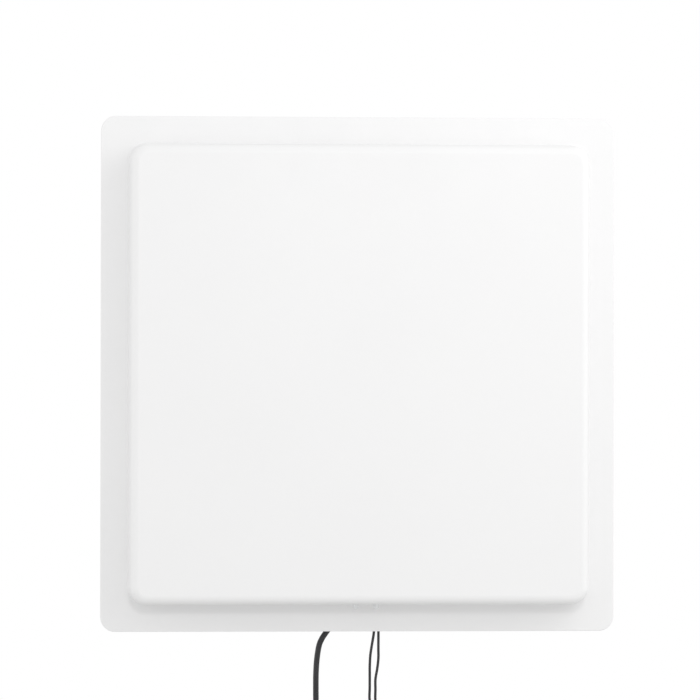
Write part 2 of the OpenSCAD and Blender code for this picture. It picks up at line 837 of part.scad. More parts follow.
// ---- Cable entry ----------------------------------------------------------------------------

module cable_box() {
    color("#d9dbdd") translate([0, 0, box_z]) difference() {
        from_wall(plate_d - box_depth) linear_extrude(box_depth - box_gasket_t)
            polygon(round_box(box_w, box_h, 4));
        difference() {
            from_wall(plate_d - box_depth + box_wall) linear_extrude(box_depth)
                polygon(round_box(box_w - 2 * box_wall, box_h - 2 * box_wall, 3));
            from_wall(plate_d - box_depth) four(box_screw_x, box_screw_z) cylinder(d = 8, h = box_depth);
        }
        from_wall(plate_d - 10) four(box_screw_x, box_screw_z)
            cylinder(r = small_screw_d / 2 + screw_fit, h = 11);
        for (x = [data_x, power_x]) {
            translate([x, -cord_d, -box_h / 2 - 1]) cylinder(r = gland_d / 2 + screw_fit, h = box_wall + 2);
        }
    }
}

module cable_box_gasket() {
    color(BLACK) from_wall(plate_d - box_gasket_t) translate([0, box_z, 0])
        linear_extrude(box_gasket_t) difference() {
            polygon(round_box(box_w, box_h, 4));
            circle(d = entry_hole_d);
            four(box_screw_x, box_screw_z) circle(r = small_screw_d / 2 + screw_fit);
        }
}

// Screws from inside the housing hold the box
module cable_box_screws() {
    color(ZINC) from_wall(plate_d + plate_t) translate([0, box_z, 0]) four(box_screw_x, box_screw_z)
        small_screw(small_screw_d, plate_t + 9);
}

// A gland: collar outside the box, thread through its wall, cap below; bored for its seal
module gland(x, seal_d_in) {
    translate([x, -cord_d, box_low_z]) difference() {
        union() {
            translate([0, 0, -gland_collar_h]) hex(gland_d + 4, gland_collar_h);
            cylinder(d = gland_d, h = box_wall + 7);
            translate([0, 0, -gland_collar_h - gland_cap_h]) cylinder(d = gland_d + 2, h = gland_cap_h);
        }
        translate([0, 0, -40]) cylinder(r = seal_d_in / 2 + screw_fit, h = 80);
    }
}

seal_bore_d = 8.4;

module data_gland() { color("#2b2d30") gland(data_x, seal_bore_d); }
module power_gland() { color("#2b2d30") gland(power_x, seal_bore_d); }

module gland_nuts() {
    nut_h = 4;
    color("#2b2d30") for (x = [data_x, power_x]) {
        translate([x, -cord_d, box_low_z + box_wall]) difference() {
            hex(gland_d + 4, nut_h);
            translate([0, 0, -1]) cylinder(r = gland_d / 2 + screw_fit, h = nut_h + 2);
        }
    }
}

// A rubber boot: its stem fills the gland, its cone stands out below and tapers to the cord
module cord_boot(x, d_low) {
    translate([x, -cord_d, 0]) {
        translate([0, 0, boot_top_z]) cylinder(d = seal_bore_d, h = box_low_z - boot_top_z + 4);
        translate([0, 0, boot_low_z]) cylinder(d1 = d_low, d2 = seal_bore_d + 1.6, h = boot_len);
    }
}

module data_boot() { color(BLACK) cord_boot(data_x, data_d + 2); }
module power_boot() { color(BLACK) cord_boot(power_x, power_gap + power_d + 1.6); }

module vent_plug() {
    color("#2b2d30") from_wall(plate_d) translate([vent_x, vent_z, 0]) {
        translate([0, 0, -5]) cylinder(d = 14, h = 5);
        cylinder(d = vent_hole_d - 2 * screw_fit, h = plate_t + 4);
    }
}

module earth_screw() {
    color(BRASS) from_wall(plate_d) translate([earth_x, earth_z, 0]) mirror([0, 0, 1])
        small_screw(earth_d, plate_t + 5, 8, 3);
}

// ---- Free cords and what is on them ---------------------------------------------------------

module data_lead() { color(BLACK) cord_tube(DATA_ROUTE, data_d, CORD_SIDES); }
module data_tail() { color(BLACK) cord_tube(DATA_TAIL, data_d, CORD_SIDES); }
module power_lead_a() { color(BLACK) cord_tube(POWER_ROUTE_A, power_d, LEAD_SIDES); }
module power_lead_b() { color(BLACK) cord_tube(POWER_ROUTE_B, power_d, LEAD_SIDES); }
module power_tail_a() { color(BLACK) cord_tube(POWER_TAIL_A, power_d, LEAD_SIDES); }
module power_tail_b() { color(BLACK) cord_tube(POWER_TAIL_B, power_d, LEAD_SIDES); }

data_coil_t = 2 * data_d;
power_coil_t = 2 * power_pitch;

module data_coil_pack() { color(BLACK) coil_pack(data_coil, data_coil_r, data_coil_t, data_coil_w); }
module power_coil_pack() { color(BLACK) coil_pack(power_coil, power_coil_r, power_coil_t, power_coil_w); }
module data_tie() { color(BLACK) coil_tie(data_coil, data_coil_r, data_coil_t, data_coil_w, 6, 1.2); }
module power_tie() { color(BLACK) coil_tie(power_coil, power_coil_r, power_coil_t, power_coil_w, 4, 1); }

// A nine-way D connector with its hood, two thumb screws and shell
module data_plug() {
    end = DATA_TAIL[len(DATA_TAIL) - 1];
    color("#3a3c40") translate(end) {
        translate([0, 0, -11]) cylinder(d1 = 12, d2 = data_d + 3, h = 11);
        translate([0, 0, -43]) linear_extrude(33) polygon(round_box(32, 15, 2));
        translate([0, 0, -49]) linear_extrude(7) polygon([[-9, -4], [9, -4], [8, 4], [-8, 4]]);
        for (s = [-1, 1]) {
            translate([s * 12.5, 0, -48]) cylinder(d = 3, h = 6);
        }
    }
}

// A coaxial power plug; both leads run into its boot
module power_plug() {
    end = (POWER_TAIL_A[len(POWER_TAIL_A) - 1] + POWER_TAIL_B[len(POWER_TAIL_B) - 1]) / 2;
    color("#232427") translate(end) {
        translate([0, 0, -9]) cylinder(d1 = 10, d2 = 6.4, h = 9);
        translate([0, 0, -26]) cylinder(d = 10, h = 17.5);
        translate([0, 0, -35.5]) difference() {
            cylinder(d = 5.5, h = 10);
            translate([0, 0, -1]) cylinder(d = 2.6, h = 9);
        }
    }
}

wall_plate();
pan_bolt();
pan_nut();
pan_washers();
yoke();
tilt_pivot_bolts();
tilt_pivot_nuts();
friction_washers();
panel_bracket();
bracket_studs();
lock_bolts();
m6_nuts();
back_plate();
cover_gasket();
radome_cover();
cover_screws();
ground_plane();
ground_pillars();
patch_top_left();
patch_top_right();
patch_bottom_left();
patch_bottom_right();
patch_spacers();
feed_pins();
feed_board();
reader_board();
board_standoffs();
board_screws();
rf_shield();
board_components();
terminal_block();
beeper();
rf_jumper();
led_bracket();
led_board();
status_lens_power();
status_lens_read();
cable_box();
cable_box_gasket();
cable_box_screws();
data_gland();
power_gland();
gland_nuts();
data_boot();
power_boot();
vent_plug();
earth_screw();
data_lead();
data_coil_pack();
data_tail();
data_tie();
data_plug();
power_lead_a();
power_lead_b();
power_coil_pack();
power_tail_a();
power_tail_b();
power_tie();
power_plug();
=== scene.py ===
"""Reader panel of a shop security gate: its looks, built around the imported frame.

Everything is in metres, with +Z up and the panel facing -Y. The wall is at y = 0.
"""

import json
import math

import bmesh
import bpy
from mathutils import Matrix, Vector


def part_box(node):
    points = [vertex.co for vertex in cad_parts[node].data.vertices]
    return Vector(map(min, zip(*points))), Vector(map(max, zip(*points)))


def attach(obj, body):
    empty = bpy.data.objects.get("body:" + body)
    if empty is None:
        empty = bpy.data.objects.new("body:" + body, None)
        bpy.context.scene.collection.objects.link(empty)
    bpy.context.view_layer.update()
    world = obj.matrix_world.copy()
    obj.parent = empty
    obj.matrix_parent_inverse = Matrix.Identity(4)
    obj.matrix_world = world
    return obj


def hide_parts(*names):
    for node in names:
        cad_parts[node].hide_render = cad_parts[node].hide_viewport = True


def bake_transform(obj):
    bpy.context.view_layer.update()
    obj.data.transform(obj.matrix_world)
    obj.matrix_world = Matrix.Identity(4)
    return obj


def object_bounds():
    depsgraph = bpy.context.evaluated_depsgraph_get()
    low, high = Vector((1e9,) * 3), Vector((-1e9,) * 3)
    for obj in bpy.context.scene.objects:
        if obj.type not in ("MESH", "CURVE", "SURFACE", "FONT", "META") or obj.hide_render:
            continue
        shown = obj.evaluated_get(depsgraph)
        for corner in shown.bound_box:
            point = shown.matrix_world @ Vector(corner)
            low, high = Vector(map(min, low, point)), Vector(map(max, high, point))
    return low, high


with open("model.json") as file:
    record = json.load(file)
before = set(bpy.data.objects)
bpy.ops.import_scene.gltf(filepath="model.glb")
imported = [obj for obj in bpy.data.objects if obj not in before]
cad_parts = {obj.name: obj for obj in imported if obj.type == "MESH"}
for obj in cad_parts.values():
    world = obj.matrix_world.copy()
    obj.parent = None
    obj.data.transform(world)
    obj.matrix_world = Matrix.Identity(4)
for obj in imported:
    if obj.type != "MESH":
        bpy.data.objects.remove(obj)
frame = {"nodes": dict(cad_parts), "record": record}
cad_low, cad_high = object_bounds()
MM = 0.001

# ---- Sizes read from the frame, and those that the looks share with it ------------------------

cover_low, cover_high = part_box("radome_cover")
plate_low, plate_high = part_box("back_plate")
PANEL_W = cover_high.x - cover_low.x
PANEL_H = cover_high.z - cover_low.z
FRONT_Y = cover_low.y
SKIRT_Y = cover_high.y

RIM_R = 13 * MM
RIM_W = 24 * MM
DOME_DEPTH = 38 * MM
DOME_R = 15 * MM
DOME_DRAFT = 2 * MM
DOME_EDGE = 7 * MM
WALL = 3 * MM
RIM_Y = FRONT_Y + DOME_DEPTH
DOME_W = PANEL_W - 2 * RIM_W
DOME_H = PANEL_H - 2 * RIM_W
CORNER_STEPS = 10

# ---- Camera -----------------------------------------------------------------------------------

CAMERA_DISTANCE = 3.2
CAMERA_AZIMUTH = math.radians(-3.2)
CAMERA_ROLL = math.radians(0.12)
# The panel's middle sits a little right of and below the middle of the view
AIM_RIGHT = -7.2 * MM
AIM_UP = 21 * MM
LENS = 190.2


def add_camera():
    back = Vector((math.sin(CAMERA_AZIMUTH), -math.cos(CAMERA_AZIMUTH), 0))
    side = Vector((math.cos(CAMERA_AZIMUTH), math.sin(CAMERA_AZIMUTH), 0))
    aim = Vector((0, RIM_Y, 0)) + side * AIM_RIGHT + Vector((0, 0, AIM_UP))
    bpy.ops.object.camera_add(location=aim + back * CAMERA_DISTANCE)
    camera = bpy.context.object
    turn = (-back).to_track_quat("-Z", "Y").to_matrix() @ Matrix.Rotation(CAMERA_ROLL, 3, "Z")
    camera.rotation_euler = turn.to_euler()
    camera.data.lens = LENS
    camera.data.sensor_width = 36
    camera.data.clip_end = 50
    bpy.context.scene.camera = camera


add_camera()

# ---- Materials --------------------------------------------------------------------------------


class Finish:
    """A principled material with short ways to add grain, speckle and wear."""

    def __init__(self, name, colour, roughness, metallic=0.0, **sockets):
        self.material = bpy.data.materials.new(name)
        self.material.use_nodes = True
        self.nodes = self.material.node_tree.nodes
        self.links = self.material.node_tree.links
        self.shader = self.nodes["Principled BSDF"]
        self.shader.inputs["Base Color"].default_value = (*colour, 1)
        self.shader.inputs["Roughness"].default_value = roughness
        self.shader.inputs["Metallic"].default_value = metallic
        for socket, value in sockets.items():
            self.shader.inputs[socket.replace("_", " ")].default_value = value
        self.place = self.nodes.new("ShaderNodeTexCoord").outputs["Object"]
        self.colour = (*colour, 1)

    def noise(self, scale, detail=3.0, rough=0.5, stretch=(1, 1, 1)):
        mapping = self.nodes.new("ShaderNodeMapping")
        mapping.inputs["Scale"].default_value = stretch
        self.links.new(self.place, mapping.inputs["Vector"])
        noise = self.nodes.new("ShaderNodeTexNoise")
        noise.inputs["Scale"].default_value = scale
        noise.inputs["Detail"].default_value = detail
        noise.inputs["Roughness"].default_value = rough
        self.links.new(mapping.outputs["Vector"], noise.inputs["Vector"])
        return noise.outputs["Fac"]

    def cell_edges(self, scale):
        """How far each place is from the nearest border of a net of cells."""
        node = self.nodes.new("ShaderNodeTexVoronoi")
        node.feature = "DISTANCE_TO_EDGE"
        node.inputs["Scale"].default_value = scale
        self.links.new(self.place, node.inputs["Vector"])
        return node.outputs["Distance"]

    def range(self, value, low, high, from_low=0.3, from_high=0.7):
        node = self.nodes.new("ShaderNodeMapRange")
        node.inputs["From Min"].default_value = from_low
        node.inputs["From Max"].default_value = from_high
        node.inputs["To Min"].default_value = low
        node.inputs["To Max"].default_value = high
        self.links.new(value, node.inputs["Value"])
        return node.outputs["Result"]

    def tint(self, factor, other):
        """Mixes what the base colour is so far towards another where factor is high."""
        base = self.shader.inputs["Base Color"]
        mix = self.nodes.new("ShaderNodeMix")
        mix.data_type = "RGBA"
        mix.inputs["A"].default_value = self.colour
        if base.is_linked:
            self.links.new(base.links[0].from_socket, mix.inputs["A"])
        mix.inputs["B"].default_value = (*other, 1)
        self.links.new(factor, mix.inputs["Factor"])
        self.links.new(mix.outputs["Result"], base)
        return self

    def roughness(self, value, low, high):
        self.links.new(self.range(value, low, high), self.shader.inputs["Roughness"])
        return self

    def bump(self, value, height, strength=1.0):
        node = self.nodes.new("ShaderNodeBump")
        node.inputs["Strength"].default_value = strength
        node.inputs["Distance"].default_value = height
        self.links.new(value, node.inputs["Height"])
        last = self.shader.inputs["Normal"]
        if last.is_linked:
            self.links.new(last.links[0].from_socket, node.inputs["Normal"])
        self.links.new(node.outputs["Normal"], last)
        return self

    def worn(self, other, low=0.52, high=0.6, share=0.6):
        """Rubbed or scuffed spots along the edges, broken up by noise."""
        geometry = self.nodes.new("ShaderNodeNewGeometry")
        edges = self.range(geometry.outputs["Pointiness"], 0, 1, low, high)
        patchy = self.nodes.new("ShaderNodeMath")
        patchy.operation = "MULTIPLY"
        self.links.new(edges, patchy.inputs[0])
        self.links.new(self.range(self.noise(180, 4, 0.6), 0, share, 0.4, 0.6), patchy.inputs[1])
        return self.tint(patchy.outputs["Value"], other)


def white_abs():
    """Satin white moulding with a fine spark-eroded grain and a very slow change of tone."""
    finish = Finish("white_abs", (0.842, 0.841, 0.842), 0.42, IOR=1.5)
    finish.tint(finish.range(finish.noise(9, 2), 0, 0.35), (0.822, 0.821, 0.823))
    finish.tint(finish.range(finish.noise(700, 2), 0, 0.12, 0.6, 0.8), (0.76, 0.76, 0.76))
    finish.roughness(finish.noise(40, 3), 0.38, 0.48)
    return finish.bump(finish.noise(2600, 2, 0.6), 0.00003, 0.35).material


def clear_lens():
    """Clear light pipe, slightly milky inside, with a polished end."""
    finish = Finish("clear_lens", (0.93, 0.94, 0.945), 0.15, IOR=1.49, Transmission_Weight=0.2,
                    Coat_Weight=0.3, Coat_Roughness=0.08)
    finish.tint(finish.range(finish.noise(900, 1), 0, 0.25), (0.88, 0.9, 0.91))
    return finish.roughness(finish.noise(600, 2), 0.08, 0.2).material


def cord_pvc():
    """Smooth black sheath with a faint drawn grain and dusty patches."""
    finish = Finish("cord_pvc", (0.012, 0.012, 0.014), 0.3, IOR=1.5, Specular_IOR_Level=0.55)
    finish.tint(finish.range(finish.noise(120, 4, 0.6), 0, 0.5, 0.5, 0.75), (0.03, 0.03, 0.033))
    finish.roughness(finish.noise(300, 3), 0.24, 0.4)
    return finish.bump(finish.noise(1800, 2), 0.00004, 0.3).material


def moulding(name, colour, rough=(0.4, 0.55), edge=None):
    """Moulded nylon or ABS: spark grain, slow tone change, edges rubbed a little paler."""
    finish = Finish(name, colour, rough[0])
    finish.tint(finish.range(finish.noise(60, 3), 0, 0.4), tuple(min(1.6 * c, c + 0.04) for c in colour))
    finish.worn(edge or tuple(min(1, 2.2 * c + 0.02) for c in colour))
    finish.roughness(finish.noise(90, 3), *rough)
    return finish.bump(finish.noise(1500, 3, 0.6), 0.00006, 0.5).material


def powder_coat():
    """Light grey powder coat: orange peel, fine flake painted lighter as a painted glint, and rubbed edges
    that show the zinc.
    """
    finish = Finish("powder_coat", (0.50, 0.515, 0.53), 0.45, Coat_Weight=0.15, Coat_Roughness=0.3)
    finish.tint(finish.range(finish.noise(14, 3), 0, 0.5), (0.455, 0.47, 0.485))
    # Fine lighter flecks: real flake in the coat, shown as a painted glint in the colour
    finish.tint(finish.range(finish.noise(1400, 2), 0, 0.5, 0.58, 0.7), (0.62, 0.63, 0.64))
    finish.worn((0.66, 0.66, 0.65), 0.53, 0.62, 0.8)
    finish.roughness(finish.noise(260, 3), 0.36, 0.52)
    return finish.bump(finish.noise(420, 2, 0.4), 0.00012, 0.5).material


def zinc_plate():
    """Bright zinc with a faint straw and blue cast and dull spots."""
    finish = Finish("zinc_plate", (0.62, 0.63, 0.62), 0.32, 0.95)
    finish.tint(finish.range(finish.noise(70, 3), 0, 0.55), (0.66, 0.62, 0.50))
    finish.tint(finish.range(finish.noise(110, 2), 0, 0.4), (0.50, 0.55, 0.62))
    finish.roughness(finish.noise(240, 4, 0.6), 0.24, 0.46)
    return finish.bump(finish.noise(900, 3), 0.00003, 0.4).material


def aluminium_sheet():
    """Mill finish sheet: rolling lines run up and down, with handling smears."""
    finish = Finish("aluminium_sheet", (0.66, 0.67, 0.68), 0.4, 0.9)
    rolled = finish.noise(60, 5, 0.6, (34, 34, 0.7))
    finish.tint(finish.range(rolled, 0, 0.45), (0.56, 0.57, 0.585))
    finish.tint(finish.range(finish.noise(11, 4), 0, 0.35), (0.71, 0.715, 0.72))
    finish.roughness(rolled, 0.33, 0.5)
    return finish.bump(rolled, 0.00002, 0.5).material


def yellow_brass():
    finish = Finish("yellow_brass", (0.72, 0.52, 0.22), 0.3, 0.95)
    finish.tint(finish.range(finish.noise(80, 3), 0, 0.5), (0.55, 0.38, 0.17))
    finish.roughness(finish.noise(200, 3), 0.24, 0.42)
    return finish.bump(finish.noise(1200, 2), 0.00002, 0.4).material


def tinned_copper():
    """Etched patch metal: tin over copper with faint cloudy oxide."""
    finish = Finish("tinned_copper", (0.70, 0.58, 0.42), 0.35, 0.9)
    finish.tint(finish.range(finish.noise(25, 4), 0, 0.6), (0.62, 0.46, 0.30))
    finish.roughness(finish.noise(60, 3), 0.28, 0.45)
    return finish.bump(finish.noise(700, 2), 0.00002, 0.3).material


def solder_resist():
    """Green resist over copper: tracks show as a slightly paler relief."""
    finish = Finish("solder_resist", (0.012, 0.14, 0.055), 0.28, Coat_Weight=0.3, Coat_Roughness=0.1)
    tracks = finish.cell_edges(260)
    finish.tint(finish.range(tracks, 0.6, 0, 0.02, 0.08), (0.03, 0.26, 0.10))
    finish.roughness(finish.noise(120, 3), 0.22, 0.36)
    return finish.bump(finish.range(tracks, 1, 0, 0.02, 0.08), 0.00004, 0.5).material


def seal_rubber():
    finish = Finish("seal_rubber", (0.018, 0.018, 0.019), 0.75)
    finish.tint(finish.range(finish.noise(150, 4, 0.6), 0, 0.5, 0.5, 0.7), (0.05, 0.05, 0.05))
    finish.roughness(finish.noise(120, 3), 0.65, 0.85)
    return finish.bump(finish.noise(1100, 3, 0.6), 0.00008, 0.6).material


def label_film():
    """Matte silver film, blank, with a faint fibre in it."""
    finish = Finish("label_film", (0.72, 0.73, 0.74), 0.4, 0.3)
    finish.tint(finish.range(finish.noise(40, 3, 0.5, (1, 1, 8)), 0, 0.4), (0.66, 0.67, 0.68))
    finish.roughness(finish.noise(300, 3), 0.34, 0.5)
    return finish.bump(finish.noise(500, 3), 0.00003, 0.5).material


MATERIALS = {
    "white_abs": white_abs(),
    "clear_lens": clear_lens(),
    "cord_pvc": cord_pvc(),
    "powder_coat": powder_coat(),
    "zinc_plate": zinc_plate(),
    "aluminium_sheet": aluminium_sheet(),
    "yellow_brass": yellow_brass(),
    "tinned_copper": tinned_copper(),
    "solder_resist": solder_resist(),
    "seal_rubber": seal_rubber(),
    "label_film": label_film(),
    "black_nylon": moulding("black_nylon", (0.02, 0.021, 0.024)),
    "grey_abs": moulding("grey_abs", (0.50, 0.51, 0.52), (0.42, 0.55), (0.66, 0.67, 0.68)),
    "white_nylon": moulding("white_nylon", (0.76, 0.76, 0.73), (0.35, 0.5), (0.84, 0.84, 0.82)),
    "terminal_blue": moulding("terminal_blue", (0.03, 0.13, 0.34), (0.3, 0.45)),
}
# The finish that each of the record's slots has on the pieces that keep their CAD shape
SLOT_FINISHES = {
    "white_abs": "white_abs", "grey_abs": "grey_abs", "nylon_white": "white_nylon",
    "black_plastic": "black_nylon", "terminal_blue": "terminal_blue", "lens_clear": "clear_lens",
    "cord_pvc": "cord_pvc", "seal_rubber": "seal_rubber", "galvanised_steel": "powder_coat",
    "zinc_fasteners": "zinc_plate", "aluminium_plate": "aluminium_sheet", "brass": "yellow_brass",
    "circuit_board": "solder_resist",
}


def finish_frame_nodes():
    """Gives every CAD node the finish of its slot; the patches are tinned copper."""
    for row in frame["record"]["subparts"]:
        finish = SLOT_FINISHES[row["material_slot"]]
        if row["node"].startswith("patch_") and row["material_slot"] == "brass":
            finish = "tinned_copper"
        mesh = frame["nodes"][row["node"]].data
        mesh.materials.clear()
        mesh.materials.append(MATERIALS[finish])


finish_frame_nodes()

# ---- Hand tools -------------------------------------------------------------------------------


def mm(*points):
    """Points whose numbers are given in millimetres."""
    return [tuple(c * MM for c in point) for point in points]


def middle_of(node):
    """The middle of a CAD node, across and up."""
    low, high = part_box(node)
    return (low.x + high.x) / 2, (low.z + high.z) / 2


def deselect():
    bpy.ops.object.select_all(action="DESELECT")


def only(piece):
    deselect()
    piece.select_set(True)
    bpy.context.view_layer.objects.active = piece


def start(kind, place=(0, 0, 0), scale=(1, 1, 1), turn=(0, 0, 0), **options):
    """Adds a primitive at its size and place, with nothing left to apply."""
    deselect()
    getattr(bpy.ops.mesh, "primitive_" + kind + "_add")(location=place, rotation=turn, **options)
    piece = bpy.context.object
    piece.scale = scale
    bpy.ops.object.transform_apply(location=True, rotation=True, scale=True)
    return piece


def block(place, size, turn=(0, 0, 0)):
    return start("cube", place, size, turn, size=1)


def begin(piece):
    only(piece)
    bpy.ops.object.mode_set(mode="EDIT")
    bpy.ops.mesh.select_mode(type="FACE")
    bpy.ops.mesh.select_all(action="DESELECT")


def end():
    bpy.ops.object.mode_set(mode="OBJECT")


def pick_faces(piece, test):
    """Selects the faces that pass a test on their middle and normal."""
    bpy.ops.mesh.select_mode(type="FACE")
    bpy.ops.mesh.select_all(action="DESELECT")
    mesh = bmesh.from_edit_mesh(piece.data)
    for face in mesh.faces:
        face.select_set(test(face.calc_center_median(), face.normal))
    bmesh.update_edit_mesh(piece.data)


def pick_edges(piece, test):
    """Selects the edges that pass a test on their two ends."""
    bpy.ops.mesh.select_mode(type="EDGE")
    bpy.ops.mesh.select_all(action="DESELECT")
    mesh = bmesh.from_edit_mesh(piece.data)
    for edge in mesh.edges:
        edge.select_set(test(edge.verts[0].co, edge.verts[1].co))
    bmesh.update_edit_mesh(piece.data)


def bevel(offset, steps=3):
    bpy.ops.mesh.bevel(offset=offset, offset_type="OFFSET", segments=steps, profile=0.5, affect="EDGES")


def extrude(move):
    bpy.ops.mesh.extrude_region_move(TRANSFORM_OT_translate={"value": move})


def widen(factors, centre):
    bpy.ops.transform.resize(value=factors, center_override=centre)


def tidy_faces():
    """Merges doubles and turns every face outwards, in edit mode."""
    bpy.ops.mesh.select_all(action="SELECT")
    bpy.ops.mesh.remove_doubles(threshold=1e-6)
    bpy.ops.mesh.normals_make_consistent(inside=False)


def modify(piece, kind, **settings):
    """Adds a modifier, sets it up and applies it."""
    modifier = piece.modifiers.new(kind.lower(), kind)
    for name, value in settings.items():
        setattr(modifier, name, value)
    only(piece)
    bpy.ops.object.modifier_apply(modifier=modifier.name)


def cut(piece, tool, operation="DIFFERENCE"):
    """Cuts a piece with a tool, which is used up."""
    modify(piece, "BOOLEAN", object=tool, operation=operation, solver="EXACT")
    bpy.data.objects.remove(tool)


def copy_to(piece, place=(0, 0, 0), direction=(0, 0, 1)):
    """A copy with its own mesh, its +Z turned to a direction and its origin moved to a place."""
    made = bpy.data.objects.new(piece.name, piece.data.copy())
    bpy.context.scene.collection.objects.link(made)
    turn = Vector(direction).to_track_quat("Z", "Y").to_matrix().to_4x4()
    made.data.transform(Matrix.Translation(Vector(place)) @ turn)
    return made


def join(pieces):
    deselect()
    for piece in pieces:
        piece.select_set(True)
    bpy.context.view_layer.objects.active = pieces[0]
    bpy.ops.object.join()
    return pieces[0]


def turned(profile, steps=40):
    """A turned piece about Z: a point is drawn out along a profile of (radius, height) and spun."""
    piece = start("plane", size=MM)
    begin(piece)
    bpy.ops.mesh.select_mode(type="VERT")
    bpy.ops.mesh.select_all(action="SELECT")
    bpy.ops.mesh.merge(type="CENTER")
    bpy.ops.transform.translate(value=(profile[0][0], 0, profile[0][1]))
    for (r0, h0), (r1, h1) in zip(profile, profile[1:]):
        bpy.ops.mesh.extrude_vertices_move(TRANSFORM_OT_translate={"value": (r1 - r0, 0, h1 - h0)})
    bpy.ops.mesh.select_all(action="SELECT")
    bpy.ops.mesh.spin(steps=steps, angle=2 * math.pi, center=(0, 0, 0), axis=(0, 0, 1))
    tidy_faces()
    end()
    return piece


def bar(place, size, edge=0.5 * MM, steps=3):
    """A block with every edge rounded."""
    made = block(place, size)
    begin(made)
    bpy.ops.mesh.select_mode(type="EDGE")
    bpy.ops.mesh.select_all(action="SELECT")
    bevel(edge, steps)
    end()
    return made


def slab(outline, thickness, edge=0.5 * MM):
    """A plate on z = 0 from the points of its outline, both rims rounded."""
    piece = start("plane", size=MM)
    begin(piece)
    bpy.ops.mesh.select_mode(type="VERT")
    bpy.ops.mesh.select_all(action="SELECT")
    bpy.ops.mesh.merge(type="CENTER")
    bpy.ops.transform.translate(value=(*outline[0], 0))
    for (x0, y0), (x1, y1) in zip(outline, outline[1:]):
        bpy.ops.mesh.extrude_vertices_move(TRANSFORM_OT_translate={"value": (x1 - x0, y1 - y0, 0)})
    bpy.ops.mesh.select_all(action="SELECT")
    bpy.ops.mesh.edge_face_add()
    extrude((0, 0, thickness))
    tidy_faces()
    pick_edges(piece, lambda a, b: abs(a.z - b.z) < 0.01 * MM)
    bevel(edge, 2)
    end()
    return piece


def arc(centre, radius, first, last, steps=CORNER_STEPS):
    """Points along a round stretch of an outline, with its angles in degrees."""
    angles = [math.radians(first + (last - first) * i / steps) for i in range(steps + 1)]
    return [(centre[0] + radius * math.cos(a), centre[1] + radius * math.sin(a)) for a in angles]


def round_box(width, height, radius):
    """The outline of a box with round corners, about the middle."""
    x, y = width / 2 - radius, height / 2 - radius
    return [point for i, (sx, sy) in enumerate(((1, 1), (-1, 1), (-1, -1), (1, -1)))
            for point in arc((sx * x, sy * y), radius, 90 * i, 90 * i + 90)]


def drill(piece, spots, radius, depth, broken=0.25 * MM):
    """Bores holes through from each (place, direction out), with both of their rims broken."""
    past = 1 * MM
    wide = radius + broken + past
    far = -depth - past
    bit = turned([(0, past), (wide, past), (radius, -broken), (radius, broken - depth),
                  (wide, far), (0, far)], 24)
    cut(piece, group(bit, spots))


def corners(x, y):
    """The four places that lie x to the sides of the middle and y above or below it."""
    return [(i * x, j * y) for i in (-1, 1) for j in (-1, 1)]


def group(pattern, places):
    """Copies of one pattern, each at a (place, direction), joined; the pattern is used up."""
    made = [copy_to(pattern, place, direction) for place, direction in places]
    bpy.data.objects.remove(pattern)
    return join(made)


def flatten_flats(piece):
    """Shades the faces that lie square to an axis flat, so that long thin ones show no streaks."""
    begin(piece)
    pick_faces(piece, lambda middle, normal: max(abs(c) for c in normal) > 0.99999)
    bpy.ops.mesh.faces_shade_flat()
    end()


def complete(piece, name, finish, body, nodes=(), angle=35):
    """Names a finished piece, smooths it, and says what it rides on and what it stands for."""
    piece.name = piece.data.name = name
    piece.data.materials.clear()
    piece.data.materials.append(MATERIALS[finish])
    only(piece)
    bpy.ops.object.shade_smooth_by_angle(angle=math.radians(angle))
    flatten_flats(piece)
    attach(piece, body)
    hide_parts(*nodes)
    return piece


# ---- Cords ------------------------------------------------------------------------------------

DATA_D = 5 * MM
POWER_D = 2.3 * MM
# Routes, tails, coils and their depths are in millimetres
DATA_ROUTE = [
    (-15, -124, -181), (-15, -124, -190), (-15.5, -124, -198), (-17, -124, -206),
    (-19.5, -124, -213.5), (-23, -124, -220.5), (-26.5, -124, -225.5), (-29.5, -124, -230),
    (-32, -124, -235.5), (-33.5, -124, -243), (-34.5, -124, -252), (-35, -124, -263),
    (-35, -123.5, -277), (-35, -121.5, -290), (-37, -117.5, -302), (-41.5, -113, -313),
    (-48, -110.5, -322.5), (-55, -110.5, -331.5), (-60, -110.5, -342), (-61.5, -110.5, -354),
]
DATA_TAIL = [(-66.5, -115.5, -373), (-66.5, -115.5, -380), (-66.5, -115.5, -388)]
POWER_ROUTE_A = [
    (15.5, -124, -181), (15.5, -124, -192), (15.5, -124, -204), (15.5, -124, -216),
    (15.5, -124, -225), (14.5, -124, -232), (13.5, -124, -238), (12.5, -124, -245),
    (12, -124, -254), (12, -124, -264), (12, -124, -274), (12, -122.5, -284),
    (14.5, -118, -294), (19.5, -114.5, -302), (24.5, -113.6, -309), (26.9, -113.6, -318),
]
POWER_ROUTE_B = [
    (20, -124, -181), (20, -124, -192), (20, -124, -204), (19.5, -124, -216),
    (19.5, -124, -228), (19.5, -124, -240), (19.5, -124, -248), (18.5, -124, -257),
    (17, -124, -266), (17, -124, -275), (17, -123, -284), (18.5, -119.5, -293),
    (22, -116, -301), (25.5, -116, -309), (26.9, -116, -318),
]
POWER_TAIL_A = [(29.3, -118.4, -327.5), (29.3, -118.4, -338), (29.3, -118.4, -350)]
POWER_TAIL_B = [(29.3, -120.8, -327.5), (29.3, -120.8, -338), (29.3, -120.8, -350)]
DATA_COIL = {"centre": (-35, -354), "radii": (26.5, 31.5), "turns": 7, "side": -1}
DATA_DEPTHS = (-110.5, -115.5, -133)
POWER_COIL = {"centre": (14.5, -318), "radii": (12.4, 14.8), "turns": 4, "side": 1}
POWER_DEPTHS_A = (-113.6, -118.4, -128)
POWER_DEPTHS_B = (-116, -120.8, -130.4)
TURN_STEPS = 48
INTO_BOOT = 3


